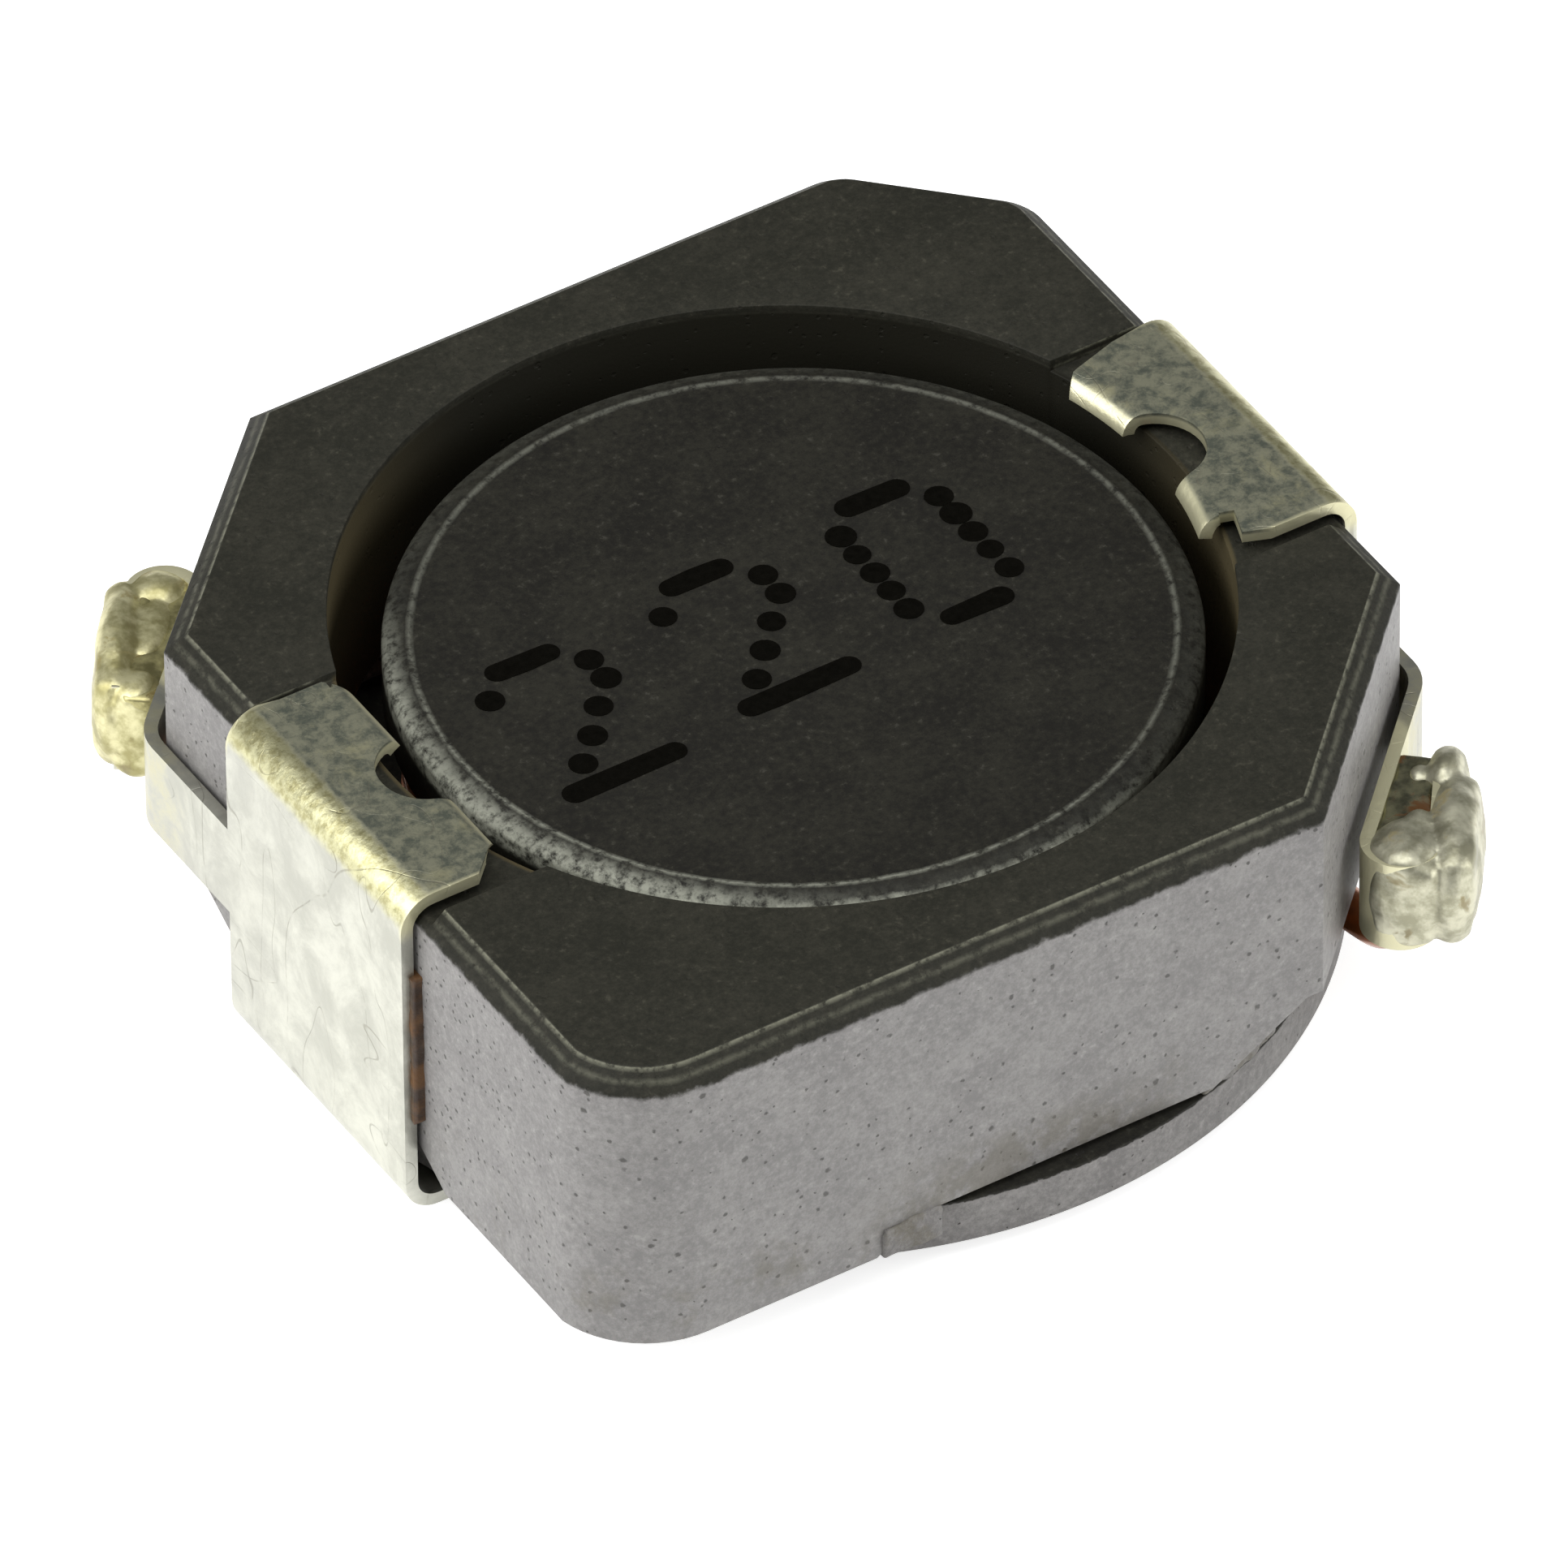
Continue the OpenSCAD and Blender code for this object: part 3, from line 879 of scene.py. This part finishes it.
class INDUCTOR_OT_drum(bpy.types.Operator):
    """Turn the ferrite drum from its lower flange up"""

    bl_idname = "inductor.drum"
    bl_label = "Ferrite drum"

    def execute(self, context):
        drum = rod("drum", LOW_FLANGE_R, DRUM_LOW.z, LOW_FLANGE_TOP, DRUM_X, DRUM_Y, 256)
        edit(drum)
        pick(drum, "faces", lambda f: f.normal.z > 0.9)
        spool_top = DRUM_TOP - FLANGE_T
        grow(0, POST_R / LOW_FLANGE_R)
        grow(spool_top - LOW_FLANGE_TOP)
        grow(0, RIM_R / POST_R)
        grow(FLANGE_T - RIM_ROUND)
        radius = RIM_R
        for rise, inward in RIM_ROWS:
            grow(rise, (RIM_R - inward) / radius)
            radius = RIM_R - inward
        for side in (-1, 1):
            take_all()
            bpy.ops.mesh.bisect(
                plane_co=(side * DRUM_HIGH.x, 0, 0), plane_no=(side, 0, 0), use_fill=True, clear_outer=True
            )
        leave_edit()
        clean(drum)
        round_edges(drum, 0.02, 2, 35)
        finish_piece(drum, drum_ferrite(), "drum_core", 30)
        return {"FINISHED"}


# Rows of dots, 1 for a dot. Dots side by side in a row run together into one stroke.
DIGITS = {
    "0": ("01110", "10001", "10001", "10001", "10001", "10001", "01110"),
    "2": ("01110", "10001", "00001", "00010", "00100", "01000", "11111"),
}

# The middle of each digit on the drum
DIGIT_PLACES = (Vector((-2.28, -0.02, 0)), Vector((-0.31, 0.12, 0)), Vector((1.66, 0.19, 0)))


def burnt_dot(first, at, factor):
    """A copy of the first dot at a place, strayed a little in place and size."""
    take(first)
    bpy.ops.object.duplicate()
    dot = bpy.context.object
    stray, uneven = 0.02, 0.15
    dot.location = at + Vector((*noise.noise_vector(at * 9).xy, 0)) * stray
    size = (1 + noise.noise(at * 5) * uneven) * factor
    dot.scale = (size, size, 1)
    place(dot)
    return dot


def merged_stroke(dots):
    """One flat stroke round the dots."""
    stroke = join(*dots)
    edit(stroke, "VERT")
    take_all()
    bpy.ops.mesh.convex_hull()
    leave_edit()
    return stroke


class INDUCTOR_OT_number(bpy.types.Operator):
    """Lay the dots of the plain number on the drum"""

    bl_idname = "inductor.number"
    bl_label = "Dotted number"

    def execute(self, context):
        look = context.scene.inductor
        sunk, proud, in_stroke = 0.004, 0.002, 0.86
        # Unless it is seeded, noise_vector gives other values in each run
        noise.seed_set(1)
        strokes = []
        first = rod("number", look.dot_size / 2, DRUM_TOP - sunk, DRUM_TOP + proud, vertices=20)
        for middle, digit in zip(DIGIT_PLACES, look.number):
            for row, line in enumerate(DIGITS[digit]):
                column = 0
                for bar in line.split("0"):
                    dots = []
                    for n in range(len(bar)):
                        x = (column + n - 2) * look.column_pitch
                        at = middle + Vector((x, (3 - row) * look.row_pitch, 0))
                        dots.append(burnt_dot(first, at, in_stroke if len(bar) > 1 else 1))
                    if len(dots) > 1:
                        dots = [merged_stroke(dots)]
                    strokes += dots
                    column += len(bar) + 1
        bpy.data.objects.remove(first)
        number = join(*strokes)
        number.name = "number"
        finish_piece(number, burnt_mark(), None)
        return {"FINISHED"}


# --- Winding ---


def hook_turn_s(side):
    """Where a hook turns back, counted along the cut face from its middle."""
    return side["reach"] - HOOK_R - SHEET


def lead(side):
    """One wire end: out through the window, then up into its hook."""
    start_r = 3.45
    angle = math.radians(50)
    start_x = -start_r * math.sin(angle)
    start_y = start_r * math.cos(angle) - CUT_FACE
    s = hook_turn_s(side) - 0.1
    low_z = LOW_FLANGE_TOP + 0.25
    points = [
        (start_x, start_y, low_z),
        ((start_x + s) / 2 - 0.12, start_y / 2, low_z),
        (s - 0.35, 0.05, low_z),
        (s - 0.1, HOOK_MID - 0.12, low_z + 0.15),
        (s, HOOK_MID, WING_Z + 0.05),
        (s, HOOK_MID, WING_Z + 0.4),
        (s, HOOK_MID, WING_Z + WING_H - 0.16),
    ]
    deselect_all()
    bpy.ops.curve.primitive_nurbs_path_add()
    wire = bpy.context.object
    path = wire.data.splines[0]
    path.points.add(len(points) - len(path.points))
    for point, at in zip(path.points, points):
        point.co = (*at, 1)
    path.use_endpoint_u = True
    path.order_u = 3
    wire.data.resolution_u = 8
    wire.data.bevel_depth = WIRE_R
    wire.data.bevel_resolution = 5
    wire.data.use_fill_caps = True
    take(wire)
    bpy.ops.object.convert(target="MESH")
    wire = bpy.context.object
    at_cut_corner(wire)
    return wire


class INDUCTOR_OT_winding(bpy.types.Operator):
    """Wind the outer copper turn by turn and lead both ends out"""

    bl_idname = "inductor.winding"
    bl_label = "Copper winding"

    def execute(self, context):
        low = LOW_FLANGE_TOP + 0.05
        high = DRUM_TOP - FLANGE_T - 0.05
        pitch = (high - low) / TURNS
        inner_turns = rod("winding", INNER_TURNS_R, low + 0.02, high - 0.02, DRUM_X, DRUM_Y, 96)
        turns = []
        for turn in range(TURNS):
            deselect_all()
            bpy.ops.mesh.primitive_torus_add(
                location=(DRUM_X, DRUM_Y, low + (turn + 0.5) * pitch),
                major_radius=WOUND_R - pitch / 2,
                minor_radius=pitch / 2 * 0.98,
                major_segments=128,
                minor_segments=16,
            )
            turns.append(added("turn"))
            place(turns[-1])
        cut(inner_turns, rod("post_cutter", POST_R + 0.04, 0, DRUM_TOP, DRUM_X, DRUM_Y, 96))
        left_lead = lead(LEFT)
        turn_half(left_lead)
        coil = join(lead(RIGHT), left_lead, *turns, inner_turns)
        coil.name = "coil"
        finish_piece(coil, copper_wire(), "winding", 60)
        return {"FINISHED"}


# --- Clips ---


def run_strip(at, heading, up, moves):
    """Draws the selected edge out along straights and bends, each (length, degrees, radius)."""
    at, heading, up = Vector(at), Vector(heading), Vector(up)
    for length, degrees, radius in moves:
        if length:
            extrude(heading * length)
            at += heading * length
        if degrees:
            side = up.cross(heading) * (1 if degrees > 0 else -1)
            centre = at + side * radius
            steps = max(4, round(abs(degrees) / DEGREES_A_STEP))
            bpy.ops.mesh.spin(steps=steps, angle=-math.radians(degrees), center=centre, axis=up)
            turn = Matrix.Rotation(math.radians(degrees), 3, up)
            at = centre + turn @ (at - centre)
            heading = turn @ heading


def clip_strip(shift):
    """The outer face of pad, wall and both folds, up to where the tab begins."""
    deselect_all()
    fold_x = WALL_OUT - FOLD_R
    pad_x = WALL_OUT - PAD_L
    bpy.ops.mesh.primitive_plane_add(size=1, location=((pad_x + fold_x) / 2, shift, 0))
    clip = added("clip")
    clip.scale = (fold_x - pad_x, CLIP_W, 1)
    place(clip)
    edit(clip, "EDGE")
    pick(clip, "edges", lambda e: all(v.co.x > fold_x - 0.01 for v in e.verts))
    run_strip((fold_x, shift, 0), (1, 0, 0), (0, -1, 0), [
        (0, 90, FOLD_R),
        (WING_Z - FOLD_R, 0, 0),
        (WING_H, 0, 0),
        (CLIP_TOP - FOLD_R - WING_Z - WING_H, 90, FOLD_R),
    ])
    return clip


def tab_front(side):
    """The tab's front, its lip turned down, round the ring's axis or straight, drawn row by row."""
    shift, edge_r, straight = side["shift"], side["edge"], side["straight"]
    deselect_all()
    bpy.ops.mesh.primitive_circle_add(vertices=256, radius=FRONT_R, location=(0, 0, CLIP_TOP))
    front = added("tab_front")
    place(front)
    edit(front, "VERT")
    pick(front, "verts", lambda v: v.co.x < 0 or abs(v.co.y - shift) > CLIP_W / 2 + 0.04)
    bpy.ops.mesh.delete(type="VERT")
    take_all()
    if straight:
        bpy.ops.transform.resize(value=(0, 1, 1), center_override=(FRONT_R, 0, 0))
    radii = [*TAB_ROWS, edge_r]
    drops = [0.0] * len(radii)
    bend = LIP_BEND + SHEET
    turns = 6
    for n in range(1, turns + 1):
        angle = math.radians(side["bend"] * n / turns)
        radii.append(edge_r - bend * math.sin(angle))
        drops.append(-bend * (1 - math.cos(angle)))
    radii.append(radii[-1] - side["lip"] * math.cos(angle))
    drops.append(drops[-1] - side["lip"] * math.sin(angle))
    for n in range(1, len(radii)):
        extrude((radii[n] - radii[n - 1] if straight else 0, 0, drops[n] - drops[n - 1]))
        if not straight:
            factor = radii[n] / radii[n - 1]
            bpy.ops.transform.resize(value=(factor, factor, 1), center_override=(0, 0, 0))
    leave_edit()
    return front


def joined_tab(clip, front, side):
    """Bridges the fold to the tab's front, then trims the tab's sides, lip and corners."""
    shift, straight = side["shift"], side["straight"]
    fold_x = WALL_OUT - FOLD_R
    reach = CLIP_W / 2
    clip = join(front, clip)
    edit(clip, "EDGE")

    def at_fold(edge):
        return all(abs(v.co.x - fold_x) < 0.01 and v.co.z > 3 for v in edge.verts)

    pick(clip, "edges", lambda e: e.is_boundary and at_fold(e))
    bpy.ops.mesh.subdivide(number_cuts=24)

    def at_gap(edge):
        high = all(v.co.z > CLIP_TOP - 0.001 for v in edge.verts)
        on_fold = at_fold(edge)
        on_front = all(abs((v.co.x if straight else v.co.xy.length) - FRONT_R) < 0.005 for v in edge.verts)
        return high and edge.is_boundary and (on_fold or on_front)

    pick(clip, "edges", at_gap)
    bpy.ops.mesh.bridge_edge_loops()
    take_all()
    bpy.ops.mesh.remove_doubles(threshold=MERGE)
    corner_x = side["edge"] if straight else math.sqrt(side["edge"] ** 2 - reach**2)

    def trim(test, normal, at):
        def in_tab(face):
            middle = middle_of(face)
            return middle.z > 3 and middle.x < fold_x + 0.01 and test(middle)

        pick(clip, "faces", in_tab)
        bpy.ops.mesh.bisect(plane_co=at, plane_no=normal, clear_outer=True)

    for way, corner_clip, lip_end in zip((-1, 1), side["clips"], side["lip_ends"]):
        trim(lambda m: True, (0, way, 0), (0, shift + way * reach, 0))
        trim(lambda m: m.z < CLIP_TOP - 0.002, (0, way, 0), (0, shift + way * (reach - lip_end), 0))
        trim(lambda m: True, (-1, way, 0), (corner_x + corner_clip, shift + way * reach, 0))
    leave_edit()
    return clip


def add_wing(clip, side):
    """Draws the wing out of the wall's edge, round the cut corner and back as a hook."""
    shift = side["shift"]
    edge_y = shift - CLIP_W / 2
    inner_r = WING_R - SHEET
    corner_y = WALL_IN - math.sqrt(2) * (CUT_FACE + HOOK_GAP)
    corner_s = -(WALL_IN + corner_y) / math.sqrt(2)
    tangent = inner_r * math.tan(math.radians(22.5))
    first = edge_y - corner_y - tangent
    half_face = (hook_turn_s(side) - corner_s - tangent) / 2
    edit(clip, "EDGE")

    def wing_root(edge):
        middle = middle_of(edge)
        upright = abs(edge.verts[0].co.z - edge.verts[1].co.z) > 0.9
        return upright and abs(middle.y - edge_y) < 0.01 and abs(middle.z - WING_Z - WING_H / 2) < 0.1

    pick(clip, "edges", wing_root)
    run_strip((WALL_OUT, edge_y, 0), (0, -1, 0), (0, 0, 1), [
        (first * 0.35, 0, 0),
        (first * 0.65, -45, WING_R),
        (half_face, 0, 0),
        (half_face, HOOK_TURN, HOOK_R),
        (side["back"] / 2, 0, 0),
        (side["back"] / 2, 0, 0),
    ])
    leave_edit()


def make_clip(name, side, half_turn):
    """Folds a clip, gives it the sheet's thickness and cuts the notch in its tab."""
    shift = side["shift"]
    clip = joined_tab(clip_strip(shift), tab_front(side), side)
    add_wing(clip, side)
    modify(clip, "SOLIDIFY", thickness=SHEET, offset=1, use_even_offset=True)
    clean(clip)
    cut(clip, rod("notch_cutter", NOTCH_R, 2.5, 5, BORE_R - 0.2, shift, 48))
    clean(clip)
    round_edges(clip, 0.03, 3, 50)
    if half_turn:
        turn_half(clip)
    clip.name = name
    clip.data.name = name
    return clip


class INDUCTOR_OT_clips(bpy.types.Operator):
    """Fold both tinned clips"""

    bl_idname = "inductor.clips"
    bl_label = "Solder clips"

    def execute(self, context):
        material = tinned_sheet()
        for name, side, half_turn in (("clip_right", RIGHT, False), ("clip_left", LEFT, True)):
            clip = make_clip(name, side, half_turn)
            finish_piece(clip, material, name.replace("clip", "terminal"), 40)
        return {"FINISHED"}


# --- Solder, adhesive and resin ---


def lump(name, at, size, seed, square=0.0, turn=0.0):
    """A frozen drop: a ball pulled to size and towards a block, dented by noise that the seed moves."""
    deselect_all()
    bpy.ops.mesh.primitive_ico_sphere_add(subdivisions=5, radius=1, location=(0, 0, 0))
    drop = added(name)
    if square:
        modify(drop, "CAST", cast_type="CUBOID", factor=square)
    drop.scale = size
    drop.rotation_euler = (0, 0, math.radians(turn))
    drop.location = (at[0], at[1], at[2] + seed)
    place(drop)
    rough(drop, 0.45, 0.08)
    drop.location = (0, 0, -seed)
    place(drop)
    return drop


def melt(piece, voxel, iterations):
    """Gives a piece, or lumps that overlap, one soft skin."""
    modify(piece, "REMESH", mode="VOXEL", voxel_size=voxel)
    modify(piece, "SMOOTH", factor=0.5, iterations=iterations)


def hook_fill(name, side, length):
    """The solder between a hook's two plates, which narrows as they close."""
    turn_s = hook_turn_s(side)
    reach = HOOK_R + 0.02
    low = (turn_s - length, HOOK_MID - reach, WING_Z + 0.1)
    fill = block(name, low, (turn_s + 0.1, HOOK_MID + reach, WING_Z + WING_H - 0.02))
    edit(fill, "VERT")
    pick(fill, "verts", lambda v: v.co.x < turn_s - 0.5 and v.co.y > HOOK_MID)
    bpy.ops.transform.translate(value=(0, -length * math.tan(math.radians(HOOK_TURN - 180)), 0))
    leave_edit()
    modify(fill, "REMESH", mode="VOXEL", voxel_size=0.03)
    rough(fill, 0.3, 0.1)
    return fill


# Each hook's solder: how deep its fill reaches in, the colours of fill and coat, each as dark and
# bright metal, flux, the flux's cover and the roughness, and the lumps of the coat, each as its place
# from the hook's upper corner, its size, the seed of its dents, its squareness and its turn
SOLDER_PLANS = (
    {
        "name": "solder_right", "side": RIGHT, "half_turn": False, "length": 1.2,
        "fill": ((84, 84, 68), (140, 138, 110), (92, 60, 26), 0.45, 0.3),
        "coat": ((150, 148, 126), (200, 198, 176), (150, 140, 104), 0.2, 0.42),
        "lumps": (
            ((0.03, 0.04, -0.05), (0.35, 0.33, 0.15), 2.3),
            ((0.1, 0.1, -0.5), (0.34, 0.38, 0.58), 9.2, 0.3),
            ((-0.27, 0.1, -0.04), (0.18, 0.15, 0.11), 4.1),
            ((-0.42, 0.42, -0.5), (0.82, 0.27, 0.62), 5.9, 0.3, HOOK_TURN - 180),
            ((-1.12, 0.19, -0.49), (0.33, 0.2, 0.62), 6.6, 0.3),
            ((-0.98, -0.03, -0.07), (0.14, 0.1, 0.07), 8.3),
        ),
    },
    {
        "name": "solder_left", "side": LEFT, "half_turn": True, "length": 1.5,
        "fill": ((124, 119, 80), (190, 183, 132), (112, 100, 58), 0.35, 0.34),
        "coat": ((158, 152, 106), (216, 211, 168), (140, 130, 84), 0.25, 0.42),
        "lumps": (
            ((-1.3, -0.04, -0.12), (0.24, 0.22, 0.17), 3.3),
            ((-1.36, -0.04, -0.52), (0.21, 0.26, 0.52), 6.1, 0.3),
            ((-0.65, 0.29, -0.49), (0.94, 0.23, 0.62), 5.2, 0.3, HOOK_TURN - 180),
            ((-0.5, 0.04, -0.06), (0.45, 0.22, 0.11), 7.4),
            ((0.08, 0.1, -0.46), (0.33, 0.36, 0.54), 9.2, 0.3),
        ),
    },
)


class INDUCTOR_OT_solder(bpy.types.Operator):
    """Freeze solder in both hooks and on their outer plates"""

    bl_idname = "inductor.solder"
    bl_label = "Solder fills"

    def execute(self, context):
        for plan in SOLDER_PLANS:
            corner = Vector((hook_turn_s(plan["side"]), HOOK_MID, WING_Z + WING_H))
            fill = hook_fill(plan["name"] + "_fill", plan["side"], plan["length"])
            coat = join(*(lump("coat", corner + Vector(at), *rest) for at, *rest in plan["lumps"]))
            coat.name = plan["name"] + "_coat"
            for piece, look, node in ((fill, "fill", plan["name"]), (coat, "coat", None)):
                melt(piece, 0.025, 8)
                at_cut_corner(piece)
                if plan["half_turn"]:
                    turn_half(piece)
                finish_piece(piece, solder_metal(piece.name, *plan[look]), node, 80)
        return {"FINISHED"}


def squeeze_out(bead, low, high):
    """Widens an adhesive layer about its middle until it shows round the clip's wall, and lifts it."""
    wider, longer, taller, lift = 0.14, 1.12, 1.1, 0.12
    middle = (low + high) / 2
    bead.location = -middle
    place(bead)
    bead.scale = (1 + wider / (high.x - low.x), longer, taller)
    bead.location = middle + Vector((0, 0, lift))
    place(bead)


class INDUCTOR_OT_glue(bpy.types.Operator):
    """Shape the adhesive under the clips and the resin at the slits' ends"""

    bl_idname = "inductor.glue"
    bl_label = "Adhesive and resin"

    def execute(self, context):
        brown = resin("clip_glue", (50, 32, 16), (104, 72, 40), 0.45)
        grey = filler()
        for node in sorted(n for n in frame["nodes"] if "glue" in n):
            take(frame["nodes"][node])
            bpy.ops.object.duplicate()
            bead = bpy.context.object
            for key in list(bead.keys()):
                del bead[key]
            bpy.ops.object.parent_clear(type="CLEAR")
            bead.name = node + "_bead"
            bead.scale = (1 / MM,) * 3
            place(bead)
            clean(bead)
            if node.startswith("glue"):
                melt(bead, 0.02, 5)
                rough(bead, 0.3, 0.06, 0.0)
                finish_piece(bead, grey, node, 80)
            else:
                squeeze_out(bead, *box_mm(node))
                modify(bead, "REMESH", mode="VOXEL", voxel_size=0.02)
                rough(bead, 0.3, 0.05)
                finish_piece(bead, brown, node)
        return {"FINISHED"}


# --- Stage ---


def floor_material(look):
    """Pale matt floor that shows white to the eye and to reflections, and keeps the shadow."""
    material, made = new_material("floor")
    rays = made.add("ShaderNodeLightPath").outputs
    seen = made.most(rays["Is Camera Ray"], rays["Is Glossy Ray"], rays["Is Transmission Ray"])
    matt = made.add("ShaderNodeBsdfDiffuse")
    matt.inputs["Color"].default_value = (look.floor_shade,) * 3 + (1,)
    glow = made.add("ShaderNodeEmission")
    made.fill(glow.inputs, Strength=made.times(seen, look.floor_glow))
    both = made.add("ShaderNodeAddShader")
    made.link(matt.outputs[0], both.inputs[0])
    made.link(glow.outputs[0], both.inputs[1])
    made.link(both.outputs[0], made.add("ShaderNodeOutputMaterial").inputs[0])
    return material


def lamp(name, azimuth, elevation, distance_mm, size_mm, strength):
    """A soft square lamp that looks at the part."""
    deselect_all()
    away = toward(math.radians(azimuth), math.radians(elevation))
    bpy.ops.object.light_add(type="AREA", location=away * distance_mm * MM)
    light = bpy.context.object
    light.name = name
    light.rotation_euler = away.to_track_quat("Z", "Y").to_euler()
    light.data.shape = "SQUARE"
    light.data.size = size_mm * MM
    light.data.energy = strength * (distance_mm * MM) ** 2


class INDUCTOR_OT_stage(bpy.types.Operator):
    """Set floor, lamps, world and camera"""

    bl_idname = "inductor.stage"
    bl_label = "Stage"

    def execute(self, context):
        look = context.scene.inductor
        deselect_all()
        bpy.ops.mesh.primitive_plane_add(size=3, location=(0, 0, 0))
        floor = added("floor")
        floor.data.materials.append(floor_material(look))
        lamp("key", -105, 35, 120, 110, look.key)
        lamp("front", 46, 24, 150, 110, look.front)
        lamp("overhead", -40, 78, 150, 120, look.overhead)

        world = bpy.data.worlds.new("studio")
        context.scene.world = world
        world.use_nodes = True
        sky = world.node_tree.nodes["Background"].inputs
        sky["Color"].default_value = (1, 1, 0.97, 1)
        sky["Strength"].default_value = look.ambient

        deselect_all()
        back = toward(look.camera_azimuth, look.camera_elevation)
        bpy.ops.object.camera_add(location=Vector(look.camera_target) + back * look.camera_distance)
        camera = bpy.context.object
        turn = back.to_track_quat("Z", "Y").to_matrix() @ Euler((0, 0, look.camera_roll)).to_matrix()
        camera.rotation_euler = turn.to_euler()
        camera.data.sensor_width = 36
        camera.data.lens = look.camera_lens
        camera.data.clip_start = 0.01
        context.scene.camera = camera
        context.scene.view_settings.view_transform = "Standard"
        return {"FINISHED"}


# --- Settings, panel and registration ---


class InductorLook(bpy.types.PropertyGroup):
    number: StringProperty(name="Number", description="Plain number in dots on the drum", default="220")
    dot_size: FloatProperty(name="Dot size", description="Width of a dot in millimetres", default=0.28)
    column_pitch: FloatProperty(
        name="Column pitch", description="Between columns of dots, in millimetres", default=0.27
    )
    row_pitch: FloatProperty(name="Row pitch", description="Between rows, in millimetres", default=0.3)
    floor_shade: FloatProperty(
        name="Floor shade", description="Share of light that the floor sends back", default=0.8
    )
    floor_glow: FloatProperty(name="Floor glow", description="White added where it is seen", default=0.7)
    ambient: FloatProperty(name="Ambient", description="Level of the even light all round", default=0.25)
    key: FloatProperty(name="Key lamp", description="Strength of the lamp on the left", default=9.2)
    front: FloatProperty(name="Front lamp", description="Strength of the lamp in front", default=5.4)
    overhead: FloatProperty(name="Overhead lamp", description="Strength of the lamp above", default=5.5)
    camera_azimuth: FloatProperty(
        name="Camera azimuth", description="Turn from the front, to the right", subtype="ANGLE",
        default=math.radians(-31.76),
    )
    camera_elevation: FloatProperty(
        name="Camera elevation", description="Height above the board plane", subtype="ANGLE",
        default=math.radians(41.62),
    )
    camera_roll: FloatProperty(
        name="Camera roll", description="Lean of the camera", subtype="ANGLE", default=math.radians(-0.57)
    )
    camera_distance: FloatProperty(
        name="Camera distance", description="From the middle of the view", unit="LENGTH", default=0.28545
    )
    camera_target: FloatVectorProperty(
        name="Camera target", description="Middle of the view", subtype="TRANSLATION",
        default=(0.00038, 0.00062, 0.00082),
    )
    camera_lens: FloatProperty(name="Lens", description="Focal length in millimetres", default=705.7)


class INDUCTOR_PT_looks(bpy.types.Panel):
    """Lists the pieces and their settings"""

    bl_label = "Inductor"
    bl_idname = "INDUCTOR_PT_looks"
    bl_space_type = "VIEW_3D"
    bl_region_type = "UI"
    bl_category = "Inductor"

    def draw(self, context):
        for operator in OPERATORS:
            self.layout.operator(operator.bl_idname)
        for name in InductorLook.__annotations__:
            self.layout.prop(context.scene.inductor, name)


OPERATORS = (
    INDUCTOR_OT_ring,
    INDUCTOR_OT_drum,
    INDUCTOR_OT_number,
    INDUCTOR_OT_winding,
    INDUCTOR_OT_clips,
    INDUCTOR_OT_solder,
    INDUCTOR_OT_glue,
    INDUCTOR_OT_stage,
)
CLASSES = (InductorLook, *OPERATORS, INDUCTOR_PT_looks)


def register():
    for one in CLASSES:
        bpy.utils.register_class(one)
    bpy.types.Scene.inductor = PointerProperty(type=InductorLook)


def unregister():
    del bpy.types.Scene.inductor
    for one in reversed(CLASSES):
        bpy.utils.unregister_class(one)


def main():
    register()
    make_grain_group()
    make_wear_group()
    make_scratch_group()
    bpy.ops.inductor.ring()
    bpy.ops.inductor.drum()
    bpy.ops.inductor.number()
    bpy.ops.inductor.winding()
    bpy.ops.inductor.clips()
    bpy.ops.inductor.solder()
    bpy.ops.inductor.glue()
    bpy.ops.inductor.stage()


if __name__ == "__main__":
    main()
